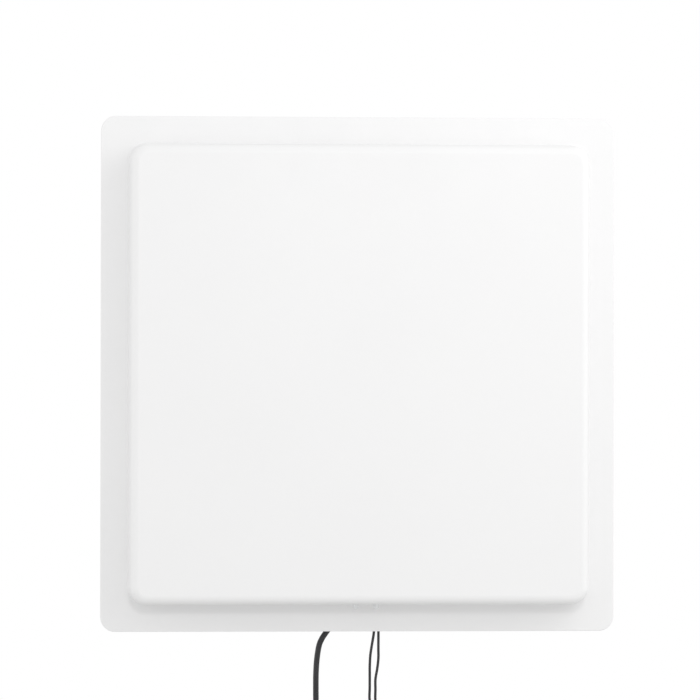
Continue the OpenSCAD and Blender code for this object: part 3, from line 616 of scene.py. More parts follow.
def ease(t):
    """A soft step from 0 to 1."""
    t = max(0.0, min(1.0, t))
    return t * t * (3 - 2 * t)


def coil_points(centre, radii, depths, turns, side):
    """Points of a coil with its axis front to back, in millimetres.

    It starts level with its middle, going down on the given side. It enters behind the pack,
    winds an inner layer forwards, steps out and winds an outer layer back.
    """
    inner, outer = radii
    entry, rear, front = depths
    dip = 0.25
    half = turns / 2
    step = 0.25
    points = []
    for i in range(int(turns * TURN_STEPS) + 1):
        t = i / TURN_STEPS
        if t < dip:
            y = entry + (rear - entry) * ease(t / dip)
        elif t < half:
            y = rear + (front - rear) * (t - dip) / (half - dip)
        else:
            y = front + (rear - front) * (t - half) / (turns - half)
        r = inner + (outer - inner) * ease((t - half + step) / (2 * step))
        a = 2 * math.pi * t
        points.append((centre[0] + side * r * math.cos(a), y, centre[1] - r * math.sin(a)))
    return points


def smooth(points, steps=5):
    """A uniform Catmull-Rom curve through given points."""
    ends = [points[0]] + list(points) + [points[-1]]
    made = []
    for i in range(1, len(ends) - 2):
        p0, p1, p2, p3 = (Vector(p) for p in ends[i - 1:i + 3])
        for k in range(steps):
            t = k / steps
            made.append(0.5 * (2 * p1 + (p2 - p0) * t + (2 * p0 - 5 * p1 + 4 * p2 - p3) * t ** 2
                               + (3 * p1 - p0 - 3 * p2 + p3) * t ** 3))
    return made + [Vector(points[-1])]


def cord_path(route, coil, tail):
    """The whole centreline in metres, from inside the boot above to inside the plug's boot."""
    top, end = Vector(route[0]), Vector(tail[-1])
    lead = smooth(route)
    rest = smooth([coil[-1]] + list(tail), 6)
    points = [top + Vector((0, 0, INTO_BOOT))] + lead + [Vector(p) for p in coil[1:]] + rest[1:]
    points.append(end - Vector((0, 0, INTO_BOOT)))
    return [p * MM for p in points]


def cord_mesh(name, path, diameter):
    """A round tube along the path, closed at both ends."""
    curve = bpy.data.curves.new(name, "CURVE")
    curve.dimensions = "3D"
    spline = curve.splines.new("POLY")
    spline.points.add(len(path) - 1)
    for point, place in zip(spline.points, path):
        point.co = (*place, 1)
    curve.bevel_depth = diameter / 2
    curve.bevel_resolution = 4
    curve.use_fill_caps = True
    tube = bpy.data.objects.new(name, curve)
    bpy.context.scene.collection.objects.link(tube)
    deselect()
    tube.select_set(True)
    bpy.context.view_layer.objects.active = tube
    bpy.ops.object.convert(target="MESH")
    tube = bpy.context.object
    bpy.ops.object.shade_smooth()
    tube.data.materials.clear()
    tube.data.materials.append(MATERIALS["cord_pvc"])
    return tube


def add_cord(name, route, coil, tail, diameter, stands_for):
    """A cord from inside its boot, through its coil, to inside its plug."""
    path = cord_path(route, coil, tail)
    cord = cord_mesh(name, path, diameter)
    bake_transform(cord)
    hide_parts(*stands_for)


def add_cords():
    add_cord("data_cord", DATA_ROUTE, coil_points(depths=DATA_DEPTHS, **DATA_COIL), DATA_TAIL, DATA_D,
             ["data_lead", "data_coil_pack", "data_tail"])
    coil_a = coil_points(depths=POWER_DEPTHS_A, **POWER_COIL)
    coil_b = coil_points(depths=POWER_DEPTHS_B, **POWER_COIL)
    add_cord("power_lead_left", POWER_ROUTE_A, coil_a, POWER_TAIL_A, POWER_D,
             ["power_lead_a", "power_tail_a", "power_coil_pack"])
    add_cord("power_lead_right", POWER_ROUTE_B, coil_b, POWER_TAIL_B, POWER_D,
             ["power_lead_b", "power_tail_b"])


# ---- Cover ------------------------------------------------------------------------------------

FOOT_FILLET = 1.5 * MM
RIM_EDGE = 0.8 * MM
BOSS_R = 5 * MM
BOSS_H = 8 * MM
BOSS_INSET = 7.5 * MM
BOSSES_A_SIDE = 4
SCREW_R = 1.5 * MM
# Halfway across the rim, from the panel's middle
RIM_MIDDLE = (DOME_W + RIM_W) / 2
LENS_R = 2.5 * MM
LENS_FIT = 0.05 * MM
LENS_HOLE_H = 30 * MM
COLLAR_R = 3.75 * MM
COLLAR_H = 5 * MM


def at_cover_screws():
    """Places across and up of the cover's screws: four along each side of the dome."""
    x_side = DOME_W / 2 - BOSS_INSET
    z_side = DOME_H / 2 - BOSS_INSET
    for i in range(BOSSES_A_SIDE):
        t = -1 + 2 * (i + 0.5) / BOSSES_A_SIDE
        for side in (-1, 1):
            yield t * x_side, side * z_side
            yield side * x_side, t * z_side


def boss():
    """A screw boss that stands on z = 0 and is bored from there."""
    return turned([(SCREW_R, 0), (BOSS_R, 0), (BOSS_R, BOSS_H - 0.5 * MM), (BOSS_R - 0.5 * MM, BOSS_H),
                   (0, BOSS_H), (0, BOSS_H - 2 * MM), (SCREW_R, BOSS_H - 2 * MM), (SCREW_R, 0)], 24)


def at_depth(y, *ends):
    return all(abs(e.y - y) < 0.01 * MM for e in ends)


def reach(point):
    """How far a point lies from the panel's middle, across or up, whichever is more."""
    return max(abs(point.x), abs(point.z))


def on_outer_loop(*ends):
    return at_depth(RIM_Y, *ends) and all(reach(e) > RIM_MIDDLE for e in ends)


def on_foot_loop(*ends):
    return at_depth(RIM_Y, *ends) and all(reach(e) < RIM_MIDDLE for e in ends)


def along_y(a, b):
    return abs(b.y - a.y) > 0.9 * (b - a).length


def add_cover():
    """Rim and dome as two boxes with rounded corners, bridged into one skin and given its wall."""
    rim = block((0, (RIM_Y + SKIRT_Y) / 2, 0), (PANEL_W, SKIRT_Y - RIM_Y, PANEL_H))
    begin(rim)
    pick_edges(rim, along_y)
    bevel(RIM_R, CORNER_STEPS)
    pick_faces(rim, lambda middle, normal: abs(normal.y) > 0.9)
    bpy.ops.mesh.delete(type="ONLY_FACE")
    end()

    cover = block((0, (FRONT_Y + RIM_Y) / 2, 0), (DOME_W, DOME_DEPTH, DOME_H))
    begin(cover)
    pick_edges(cover, along_y)
    bevel(DOME_R, CORNER_STEPS)
    pick_faces(cover, lambda middle, normal: normal.y > 0.9)
    bpy.ops.mesh.delete(type="ONLY_FACE")
    pick_faces(cover, lambda middle, normal: normal.y < -0.9)
    widen((1 - 2 * DOME_DRAFT / DOME_W, 1, 1 - 2 * DOME_DRAFT / DOME_H), (0, FRONT_Y, 0))
    end()

    cover = join([cover, rim])
    begin(cover)
    pick_edges(cover, lambda a, b: on_outer_loop(a, b) or on_foot_loop(a, b))
    bpy.ops.mesh.bridge_edge_loops()
    tidy_faces()
    pick_edges(cover, lambda a, b: at_depth(FRONT_Y, a, b))
    bevel(DOME_EDGE, 8)
    pick_edges(cover, on_foot_loop)
    bevel(FOOT_FILLET, 4)
    end()
    modify(cover, "SOLIDIFY", thickness=WALL, offset=-1, use_even_offset=True, use_quality_normals=True)
    begin(cover)
    pick_edges(cover, on_outer_loop)
    bevel(RIM_EDGE, 3)
    end()

    for node in ("status_lens_power", "status_lens_read"):
        low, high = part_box(node)
        middle = (low + high) / 2
        hole = start("cylinder", (middle.x, middle.y, low.z), vertices=32, radius=LENS_R + LENS_FIT,
                     depth=LENS_HOLE_H)
        cut(cover, hole)

    bosses = group(boss(), [((x, RIM_Y + WALL, z), (0, -1, 0)) for x, z in at_cover_screws()])
    complete(join([cover, bosses]), "cover", "white_abs", "panel", ["radome_cover"], 25)


def add_lens(node, name):
    """A light pipe with a stepped collar inside the wall and a rounded, polished end below it."""
    low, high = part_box(node)
    middle = (low + high) / 2
    length = high.z - low.z
    collar = length - COLLAR_H
    angles = [i * math.pi / 12 for i in range(7)]
    tip = [(LENS_R * math.sin(a), LENS_R * 0.55 * (1 - math.cos(a))) for a in angles]
    pipe = turned(tip + [(LENS_R, collar - 0.6 * MM), (LENS_R + 0.5 * MM, collar), (COLLAR_R, collar),
                         (COLLAR_R, length - 0.4 * MM), (COLLAR_R - 0.4 * MM, length), (0, length)], 32)
    lens = group(pipe, [((middle.x, middle.y, low.z), (0, 0, 1))])
    complete(lens, name, "clear_lens", "panel", [node], 40)


add_cover()
add_lens("status_lens_power", "power_lens")
add_lens("status_lens_read", "read_lens")

# ---- Sizes of the bracket and its fasteners ---------------------------------------------------

STEEL = 4 * MM
BRACKET_T = 3 * MM
PLATE_R = 8 * MM
PLATE_EDGE = 0.6 * MM
BOLT_FIT = 0.05 * MM
PAN_Y = -40 * MM
TILT_Y = -90 * MM
PAN_BOLT_R = 5 * MM
TILT_BOLT_R = 4 * MM
M6_R = 3 * MM
# Outer faces of the wall plate's and the panel bracket's ears, and inner faces of the swivel's
EAR_OUT = 36 * MM
BRACKET_OUT = 34.5 * MM
YOKE_IN = 26 * MM
# Across flats and height of a nut, in diameters of its thread
HEX_SHARE = 1.65
NUT_SHARE = 0.8
PAN_BOLT_ACROSS = 17 * MM
PAST_NUT = 2 * MM
PLAIN_SHANK = 9 * MM

# ---- Fasteners --------------------------------------------------------------------------------

COS_30 = math.cos(math.radians(30))
PAN_HEAD = (2.75 * MM, 2 * MM)
LONG_SCREW = 8.5 * MM
SHORT_SCREW = 5 * MM
PILLAR_R = 3.5 * MM / COS_30
PILLAR_H = 21 * MM
STUD_FLANGE_R = 6 * MM
STUD_PLAIN = 4 * MM
EARTH_HEAD = (4 * MM, 2.4 * MM)
EARTH_WASHER_T = 0.6 * MM


def hexagon(across, height, bore=0.0):
    """A chamfered hexagon that stands on z = 0: a bolt's head, or a nut where it has a bore."""
    corner = across / 2 / COS_30
    fall = (corner - across / 2) * 0.6
    side = [(corner * 1.01, fall), (corner * 1.01, height - fall), (across / 2 * 0.97, height)]
    if bore:
        outline = ([(bore, 0.08 * height), (bore * 1.1, 0), (across / 2 * 0.97, 0)] + side
                   + [(bore * 1.1, height), (bore, 0.92 * height), (bore, 0.08 * height)])
    else:
        outline = [(0, 0), (across / 2, 0)] + side + [(0, height)]
    prism = start("cylinder", (0, 0, height / 2), vertices=6, radius=corner, depth=height)
    cut(prism, turned(outline, 36), "INTERSECT")
    return prism


def threaded(radius, length, pitch, plain):
    """A shank down from z = 0: a plain length, grooves at the thread's pitch, and a chamfered end."""
    profile = [(0, 0), (radius, 0), (radius, -plain)]
    turns = int((length - plain) / pitch - 0.5)
    for i in range(turns):
        depth = -plain - i * pitch
        profile += [(radius * 0.88, depth - 0.5 * pitch), (radius, depth - pitch)]
    return turned(profile + [(radius * 0.8, -length), (0, -length)], 24)


def hex_bolt(across, head_h, radius, length, pitch, plain):
    return join([hexagon(across, head_h), threaded(radius, length, pitch, plain)])


def pan_screw(head, radius, length):
    """A domed head with a cross recess that stands on z = 0, and its shank below."""
    head_r, head_h = head
    angles = [i * math.pi / 10 for i in range(5)]
    crown = [(head_r * math.cos(a), head_h * (0.35 + 0.65 * math.sin(a))) for a in angles]
    made = turned([(0, 0), (head_r * 0.97, 0)] + crown + [(0, head_h)], 28)
    for turn in (0, math.pi / 2):
        cut(made, block((0, 0, head_h), (head_r * 1.15, head_r * 0.22, head_h), (0, 0, turn)))
    return join([made, threaded(radius, length, 0.5 * MM, length * 0.5)])


def nut_height(radius):
    return NUT_SHARE * 2 * radius


def nut(radius):
    return hexagon(HEX_SHARE * 2 * radius, nut_height(radius), radius)


def both_ends(y, z, out):
    """The two places at a distance out along X, each pointing outwards."""
    return [((side * out, y, z), (side, 0, 0)) for side in (-1, 1)]


def zinc(piece, name, body, *nodes):
    complete(piece, name, "zinc_plate", body, nodes, 30)


def add_pan_bolt():
    low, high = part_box("pan_bolt")
    nut_low, nut_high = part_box("pan_nut")
    plain = 2 * EAR_OUT - STEEL
    bolt = hex_bolt(PAN_BOLT_ACROSS, high.z - EAR_OUT, PAN_BOLT_R, EAR_OUT - low.z, 1.5 * MM, plain)
    zinc(group(bolt, [((0, PAN_Y, EAR_OUT), (0, 0, 1))]), "pan_pivot_bolt", "wall", "pan_bolt")
    pan_nut = hexagon(HEX_SHARE * 2 * PAN_BOLT_R, nut_high.z - nut_low.z, PAN_BOLT_R)
    zinc(group(pan_nut, [((0, PAN_Y, nut_low.z), (0, 0, 1))]), "pan_pivot_nut", "wall", "pan_nut")


def add_ear_bolts(node, name, body, radius, pitch, z):
    """A bolt through both ears of each side with its head outside; gives the places of its nuts."""
    head_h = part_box(node)[1].x - BRACKET_OUT
    length = BRACKET_OUT - YOKE_IN + nut_height(radius) + PAST_NUT
    bolt = hex_bolt(HEX_SHARE * 2 * radius, head_h, radius, length, pitch, PLAIN_SHANK)
    zinc(group(bolt, both_ends(TILT_Y, z, BRACKET_OUT)), name, body, node)
    return both_ends(TILT_Y, z, YOKE_IN - nut_height(radius))


def at_studs():
    """Places across and up of the studs that hold the panel bracket."""
    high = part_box("bracket_studs")[1]
    return corners(high.x - STUD_FLANGE_R, high.z - STUD_FLANGE_R)


def add_bracket_fasteners():
    nut_places = add_ear_bolts("tilt_pivot_bolts", "tilt_bolts", "swivel", TILT_BOLT_R, 1.25 * MM, 0)
    zinc(group(nut(TILT_BOLT_R), nut_places), "tilt_nuts", "swivel", "tilt_pivot_nuts")

    lock_z = middle_of("lock_bolts")[1]
    nut_places = add_ear_bolts("lock_bolts", "tilt_lock_bolts", "panel", M6_R, 1 * MM, lock_z)
    nut_places += [((x, plate_high.y + BRACKET_T, z), (0, 1, 0)) for x, z in at_studs()]
    zinc(group(nut(M6_R), nut_places), "lock_and_stud_nuts", "panel", "m6_nuts")

    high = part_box("bracket_studs")[1]
    flange = turned(mm((0, 0), (6, 0), (6, 1.2), (5.7, 1.5), (0, 1.5)), 28)
    stud = join([flange, threaded(M6_R, high.y - plate_low.y, 1 * MM, STUD_PLAIN)])
    places = [((x, plate_low.y, z), (0, -1, 0)) for x, z in at_studs()]
    zinc(group(stud, places), "studs", "panel", "bracket_studs")


def at_pillars():
    """Places across and up of the pillars that carry the ground plane: a ring of eight."""
    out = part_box("ground_pillars")[1].x - PILLAR_R
    return [(i * out, j * out) for i in (-1, 0, 1) for j in (-1, 0, 1) if i or j]


def at_board_screws():
    low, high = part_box("board_screws")
    head_r = PAN_HEAD[0]
    x = high.x - head_r
    return [(i * x, z) for i in (-1, 1) for z in (low.z + head_r, high.z - head_r)]


def screw_pairs(spots, front):
    """Short screws into both ends of pillars or standoffs: from the back plate and from the front."""
    places = [((x, plate_high.y, z), (0, 1, 0)) for x, z in spots]
    places += [((x, front, z), (0, -1, 0)) for x, z in spots]
    return group(pan_screw(PAN_HEAD, SCREW_R, SHORT_SCREW), places)


def add_small_screws():
    """Screws with their heads on the back plate, and the pillars that they hold inside."""
    places = [((x, plate_high.y, z), (0, 1, 0)) for x, z in at_cover_screws()]
    screws = group(pan_screw(PAN_HEAD, SCREW_R, LONG_SCREW), places)
    zinc(screws, "cover_fixing_screws", "panel", "cover_screws")

    head_h = PAN_HEAD[1]
    pillar = start("cylinder", vertices=6, radius=PILLAR_R, depth=PILLAR_H)
    begin(pillar)
    pick_edges(pillar, lambda a, b: abs(a.z - b.z) < 1e-6)
    bevel(0.4 * MM, 2)
    end()
    pillars = group(pillar, [((x, plate_low.y - PILLAR_H / 2, z), (0, 1, 0)) for x, z in at_pillars()])
    heads = screw_pairs(at_pillars(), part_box("ground_pillars")[0].y + head_h)
    zinc(join([pillars, heads]), "pillars_and_screws", "panel", "ground_pillars")

    heads = screw_pairs(at_board_screws(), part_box("board_screws")[0].y + head_h)
    zinc(heads, "board_fixing_screws", "panel", "board_screws")


def add_earth_screw():
    """A brass screw on a washer, for the earth lead."""
    x, z = middle_of("earth_screw")
    screw = pan_screw(EARTH_HEAD, 2 * MM, 6 * MM)
    washer = turned(mm((2, 0), (4.4, 0), (4.4, 0.6), (2, 0.6), (2, 0)), 28)
    lifted = group(screw, [((0, 0, EARTH_WASHER_T), (0, 0, 1))])
    made = group(join([washer, lifted]), [((x, plate_high.y, z), (0, 1, 0))])
    complete(made, "earth_terminal", "yellow_brass", "panel", ["earth_screw"], 30)


add_pan_bolt()
add_bracket_fasteners()
add_small_screws()
add_earth_screw()

# ---- Wall plate, swivel and panel bracket -----------------------------------------------------

WALL_HOLES = (60 * MM, 40 * MM)
WALL_HOLE_R = 4.5 * MM
STRAP_SLOT_X = 36 * MM
STRAP_SLOT_W = 6 * MM
STRAP_SLOT_H = 34 * MM
LUG_R = 14 * MM
WALL_EAR_HALF_W = 30 * MM
WALL_EAR_FOOT = 8 * MM

WEB_Y = -58 * MM
WEB_HALF_H = 31.5 * MM
LUG_INSET = 6 * MM
YOKE_EAR_R = 18 * MM
YOKE_WELD_H = 44 * MM
LOCK_R = 26 * MM
# How far the lock slot turns each way, in degrees
LOCK_TURN = 16.5
LOCK_SLOT_R = 3.3 * MM
LOCK_ROUND = 12 * MM
EAR_TOP = LOCK_R + LOCK_ROUND

BRACKET_SIDE = 124 * MM
BRACKET_EAR_R = 16 * MM
BRACKET_EAR_LOW = -30 * MM
BRACKET_EAR_HIGH = EAR_TOP + 6 * MM
BRACKET_WELD_H = 64 * MM
BRACKET_WELD_LOW = -26 * MM

# How far an ear goes into the plate, or the web, that it is welded to
SUNK = 0.5 * MM
WEB_SUNK = 0.3 * MM

# How slabs drawn flat are set up: upright facing -Y, level, or upright facing along X
FACING_FRONT = Matrix(((1, 0, 0), (0, 0, -1), (0, 1, 0))).to_4x4()
FACING_SIDE = Matrix(((0, 0, 1), (-1, 0, 0), (0, 1, 0))).to_4x4()


def set_up(piece, turn=Matrix.Identity(4), place=(0, 0, 0)):
    """Turns a slab and moves it to its place, in its mesh."""
    piece.data.transform(Matrix.Translation(Vector(place)) @ turn)
    return piece


def through_y(spots, y):
    """Places (x, z) of holes that run front to back, drilled from the rear face at y."""
    return [((x, y, z), (0, 1, 0)) for x, z in spots]


def weld(length, place, direction):
    """A weld bead: a row of low overlapping ripples."""
    ripple = 2 * MM
    count = int(length / ripple)
    profile = [(0, 0)]
    for i in range(count):
        profile += [(r * MM, (i + along) * ripple) for r, along in ((1.2, 0.1), (1.6, 0.4), (1.5, 0.8))]
    bead = turned(profile + [(0, count * ripple)], 16)
    return group(bead, [(place, direction)])


def welds_across(half_w, y, heights):
    """Beads along X, one on each side of the foot of each level ear."""
    short = 4 * MM
    return [weld(2 * half_w - 2 * short, (short - half_w, y, z), (1, 0, 0)) for z in heights]


def pan_bored(outline):
    """A level ear with the hole of the pan bolt."""
    ear = slab(outline, STEEL)
    drill(ear, [((0, PAN_Y, STEEL), (0, 0, 1))], PAN_BOLT_R + BOLT_FIT, STEEL)
    return ear


def side_ear(outline, x, holes):
    """An upright ear with its left face at x, bored along X at each (height, bolt radius)."""
    ear = set_up(slab(outline, STEEL), FACING_SIDE, (x, 0, 0))
    for z, radius in holes:
        drill(ear, [((x + STEEL, TILT_Y, z), (1, 0, 0))], radius + BOLT_FIT, STEEL)
    return ear


def lock_slotted(ear, x):
    """Cuts the round slot of a lock bolt through a swivel ear whose middle is at x."""
    through = 3 * STEEL
    for side in (-1, 1):
        bore = start("cylinder", (x, TILT_Y, 0), vertices=32, radius=LOCK_SLOT_R, depth=through,
                     turn=(0, math.pi / 2, 0))
        turn = math.radians(90 + side * LOCK_TURN)
        bore.data.transform(Matrix.Translation((0, -LOCK_R * math.cos(turn), LOCK_R * math.sin(turn))))
        cut(ear, bore)
    first, last = 90 - LOCK_TURN, 90 + LOCK_TURN
    sweep = slab(arc((0, 0), LOCK_R + LOCK_SLOT_R, first, last, 12)
                 + arc((0, 0), LOCK_R - LOCK_SLOT_R, last, first, 12), through, 0.01 * MM)
    cut(ear, set_up(sweep, FACING_SIDE, (x - through / 2, TILT_Y, 0)))
    return ear


def add_wall_plate():
    """A drilled plate with two strap slots, and the two level ears of the pan bolt."""
    low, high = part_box("wall_plate")
    plate = set_up(slab(round_box(high.x - low.x, high.z - low.z, PLATE_R), STEEL, PLATE_EDGE), FACING_FRONT)
    drill(plate, through_y(corners(*WALL_HOLES), 0), WALL_HOLE_R, STEEL, 0.5 * MM)
    for side in (-1, 1):
        slot = bar((side * STRAP_SLOT_X, -STEEL / 2, 0), (STRAP_SLOT_W, 4 * STEEL, STRAP_SLOT_H), 0.8 * MM)
        cut(plate, slot)
    half, foot = WALL_EAR_HALF_W, -STEEL - WALL_EAR_FOOT
    outline = ([(half, -SUNK), (-half, -SUNK), (-half, foot)] + arc((0, PAN_Y), LUG_R, 180, 360, 20)
               + [(half, foot)])
    ears = [set_up(pan_bored(outline), place=(0, 0, z)) for z in (EAR_OUT - STEEL, -EAR_OUT)]
    welds = welds_across(half, -STEEL, (EAR_OUT, EAR_OUT - STEEL, -EAR_OUT, STEEL - EAR_OUT))
    complete(join([plate] + ears + welds), "wall_plate_bracket", "powder_coat", "wall",
             ["wall_plate"], 32)


def add_yoke():
    """A web with two level ears behind it for the pan bolt and two slotted ears in front for the tilt."""
    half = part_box("yoke")[1].x
    sides = [(half, -WEB_HALF_H), (half, WEB_HALF_H), (-half, WEB_HALF_H), (-half, -WEB_HALF_H)]
    parts = [set_up(slab(sides, STEEL, PLATE_EDGE), FACING_FRONT, (0, WEB_Y, 0))]
    lug_half = half - LUG_INSET
    lug = [(-lug_half, WEB_Y), (lug_half, WEB_Y)] + arc((0, PAN_Y), LUG_R, 0, 180, 20)
    lug_z = WEB_HALF_H - STEEL
    parts += [set_up(pan_bored(lug), place=(0, 0, z)) for z in (lug_z, -WEB_HALF_H)]
    back = STEEL - WEB_SUNK - WEB_Y
    corner = (YOKE_EAR_R - PLATE_R - TILT_Y, EAR_TOP - PLATE_R)
    ear = ([(back, EAR_TOP), (back, -YOKE_EAR_R)] + arc((-TILT_Y, 0), YOKE_EAR_R, 270, 360, 14)
           + arc(corner, PLATE_R, 0, 90, 8))
    for x in (half - STEEL, -half):
        parts.append(lock_slotted(side_ear(ear, x, [(0, TILT_BOLT_R)]), x + STEEL / 2))
    parts += [weld(YOKE_WELD_H, (side * (half - STEEL), WEB_Y - STEEL, -YOKE_WELD_H / 2), (0, 0, 1))
              for side in (-1, 1)]
    parts += welds_across(lug_half, WEB_Y, (lug_z, -lug_z))
    complete(join(parts), "swivel_yoke", "powder_coat", "swivel", ["yoke"], 32)


def add_panel_bracket():
    """A square plate on the studs, with two upright ears outside the swivel's."""
    rear = plate_high.y + BRACKET_T
    plate = slab(round_box(BRACKET_SIDE, BRACKET_SIDE, PLATE_R), BRACKET_T, PLATE_EDGE)
    set_up(plate, FACING_FRONT, (0, rear, 0))
    drill(plate, through_y(at_studs(), rear), M6_R + BOLT_FIT, BRACKET_T)
    foot = -plate_high.y - SUNK
    ear = ([(foot, BRACKET_EAR_LOW), (10 * MM - TILT_Y, -BRACKET_EAR_R)]
           + arc((-TILT_Y, 0), BRACKET_EAR_R, 270, 180, 14)
           + arc((-TILT_Y, LOCK_R), LOCK_ROUND, 180, 60, 12) + [(foot, BRACKET_EAR_HIGH)])
    holes = [(0, TILT_BOLT_R), (LOCK_R, M6_R)]
    parts = [plate] + [side_ear(ear, x, holes) for x in (BRACKET_OUT - STEEL, -BRACKET_OUT)]
    parts += [weld(BRACKET_WELD_H, (side * BRACKET_OUT, rear, BRACKET_WELD_LOW), (0, 0, 1))
              for side in (-1, 1)]
    complete(join(parts), "panel_mounting_bracket", "powder_coat", "panel",
             ["panel_bracket"], 32)


add_wall_plate()
add_yoke()
add_panel_bracket()

# ---- Back plate, entry box and label ----------------------------------------------------------

CORD_Y = plate_high.y + 18 * MM
BACK_R = 9.7 * MM
ENTRY_R = 12 * MM
BOX_SCREWS = (49 * MM, 14 * MM)
BOX_WALL = 2.5 * MM
POST_R = 4 * MM
GLAND_R = 6 * MM


def at_box_screws():
    x, z = middle_of("cable_box")
    return [(x + dx, z + dz) for dx, dz in corners(*BOX_SCREWS)]


def add_back_plate():
    """The flat sheet behind everything, with the holes of its screws, studs, cords, vent and earth."""
    thick = plate_high.y - plate_low.y
    plate = slab(round_box(plate_high.x - plate_low.x, plate_high.z - plate_low.z, BACK_R), thick, 0.3 * MM)
    set_up(plate, FACING_FRONT, (0, plate_high.y, 0))
    for spots, radius in (
        ([*at_cover_screws(), *at_pillars(), *at_board_screws(), *at_box_screws()], SCREW_R + BOLT_FIT),
        (at_studs(), M6_R + BOLT_FIT),
        ([middle_of("cable_box")], ENTRY_R),
        ([middle_of("vent_plug")], 4 * MM),
        ([middle_of("earth_screw")], 2 * MM + BOLT_FIT),
    ):
        drill(plate, through_y(spots, plate_high.y), radius, thick, 0.2 * MM)
    complete(plate, "aluminium_back", "aluminium_sheet", "panel", ["back_plate"], 32)


def add_entry_box():
    """A moulded box, open towards the plate, with a sunk rear panel, screw posts and gland holes."""
    low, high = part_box("cable_box")
    middle, size = (low + high) / 2, high - low
    sunk, cut_h = 0.6 * MM, 2 * MM
    box = block(middle, size)
    begin(box)
    pick_edges(box, along_y)
    bevel(4 * MM, CORNER_STEPS)
    pick_edges(box, lambda a, b: at_depth(high.y, a, b))
    bevel(1.5 * MM, 4)
    end()
    room = slab(round_box(size.x - 2 * BOX_WALL, size.z - 2 * BOX_WALL, 3 * MM), size.y, 0.4 * MM)
    cut(box, set_up(room, FACING_FRONT, (middle.x, high.y - BOX_WALL, middle.z)))
    panel = slab(round_box(size.x - 14 * MM, size.z - 14 * MM, 3 * MM), cut_h, 0.2 * MM)
    cut(box, set_up(panel, FACING_FRONT, (middle.x, high.y - sunk + cut_h, middle.z)))
    post_h = high.y - BOX_WALL / 2 - low.y
    bored = 10 * MM
    post = turned([(SCREW_R, 0), (POST_R, 0), (POST_R, post_h), (0, post_h), (0, bored), (SCREW_R, bored),
                   (SCREW_R, 0)], 24)
    posts = group(post, [((x, low.y, z), (0, 1, 0)) for x, z in at_box_screws()])
    for node in ("data_gland", "power_gland"):
        spot = ((middle_of(node)[0], CORD_Y, low.z), (0, 0, -1))
        drill(box, [spot], GLAND_R + BOLT_FIT, BOX_WALL, 0.1 * MM)
    complete(join([box, posts]), "entry_box", "grey_abs", "panel", ["cable_box"], 32)


def add_label():
    """A blank rating label with rounded corners and a raised border line."""
    label_w, label_h, film = 86 * MM, 48 * MM, 0.15 * MM
    label = block((-125 * MM, plate_high.y + film / 2, 135 * MM), (label_w, film, label_h))
    begin(label)
    pick_edges(label, along_y)
    bevel(3 * MM, 6)
    pick_faces(label, lambda middle, normal: normal.y > 0.9)
    bpy.ops.mesh.inset(thickness=2.5 * MM)
    bpy.ops.mesh.inset(thickness=0.5 * MM)
    bpy.ops.transform.translate(value=(0, -0.08 * MM, 0))
    end()
    complete(label, "rating_label", "label_film", "panel", angle=20)


add_back_plate()
add_entry_box()
add_label()

# ---- Glands, boots and breather ---------------------------------------------------------------

GLAND_CAP_R = 7 * MM
GLAND_CAP_H = 10 * MM
GLAND_COLLAR_H = 5 * MM
BOOT_TOP_R = 5 * MM
BOOT_RINGS = 7
RIB = 0.45 * MM
FLUTE_STEPS = 48


def flute(piece, radius, low, high, every=3):
    """Presses flutes into a turned side, one face in so many, between two heights."""
    begin(piece)

    def on_side(middle, normal):
        if abs(normal.z) > 0.2 or not low < middle.z < high or math.hypot(middle.x, middle.y) < radius * 0.9:
            return False
        turn = math.atan2(middle.y, middle.x) % (2 * math.pi)
        return int(turn / (2 * math.pi) * FLUTE_STEPS) % every == 0

    pick_faces(piece, on_side)
    bpy.ops.mesh.inset(thickness=0.1 * MM, depth=0, use_individual=True)
    bpy.ops.transform.resize(value=(1 - RIB / radius, 1 - RIB / radius, 1), center_override=(0, 0, 0))
    end()


def gland():
    """A hexagonal collar and a fluted cap below z = 0, and the threaded stem above."""
    collar = group(hexagon(16 * MM, GLAND_COLLAR_H), [((0, 0, -GLAND_COLLAR_H), (0, 0, 1))])
    bottom = -GLAND_COLLAR_H - GLAND_CAP_H
    top = -GLAND_COLLAR_H - 0.2 * MM
    bore, out = BOOT_TOP_R * 0.9, GLAND_CAP_R
    cap = turned([(bore, bottom), (out - 1.8 * MM, bottom), (out - 0.5 * MM, bottom + 0.6 * MM),
                  (out, bottom + 1.8 * MM), (out, -GLAND_COLLAR_H - 1 * MM), (out - 0.6 * MM, top),
                  (bore, top), (bore, bottom)], FLUTE_STEPS)
    flute(cap, out, bottom + 1.9 * MM, -GLAND_COLLAR_H - 1 * MM)
    stem = group(threaded(GLAND_R - BOLT_FIT, 9.5 * MM, 1.5 * MM, 2 * MM), [((0, 0, 0), (0, 0, -1))])
    return join([collar, cap, stem])


def boot(low_r, length):
    """A tapered rubber sleeve with rings, hanging down from z = 0, its stem above."""
    lip = 1.2 * MM
    profile = mm((0, 8), (4.1, 8), (4.1, 0.3)) + [(BOOT_TOP_R, 0), (BOOT_TOP_R, -lip)]
    step = (length - 2 * lip) / BOOT_RINGS
    for i in range(BOOT_RINGS):
        r = BOOT_TOP_R + (low_r - BOOT_TOP_R) * (i + 0.5) / BOOT_RINGS
        depth = -lip - i * step
        profile += [(r - 0.55 * MM, depth - 0.15 * step), (r - 0.6 * MM, depth - 0.45 * step),
                    (r, depth - 0.6 * step), (r - 0.05 * MM, depth - step)]
    return turned(profile + [(low_r, -length + 0.5 * MM), (low_r - 0.5 * MM, -length), (0, -length)], 36)


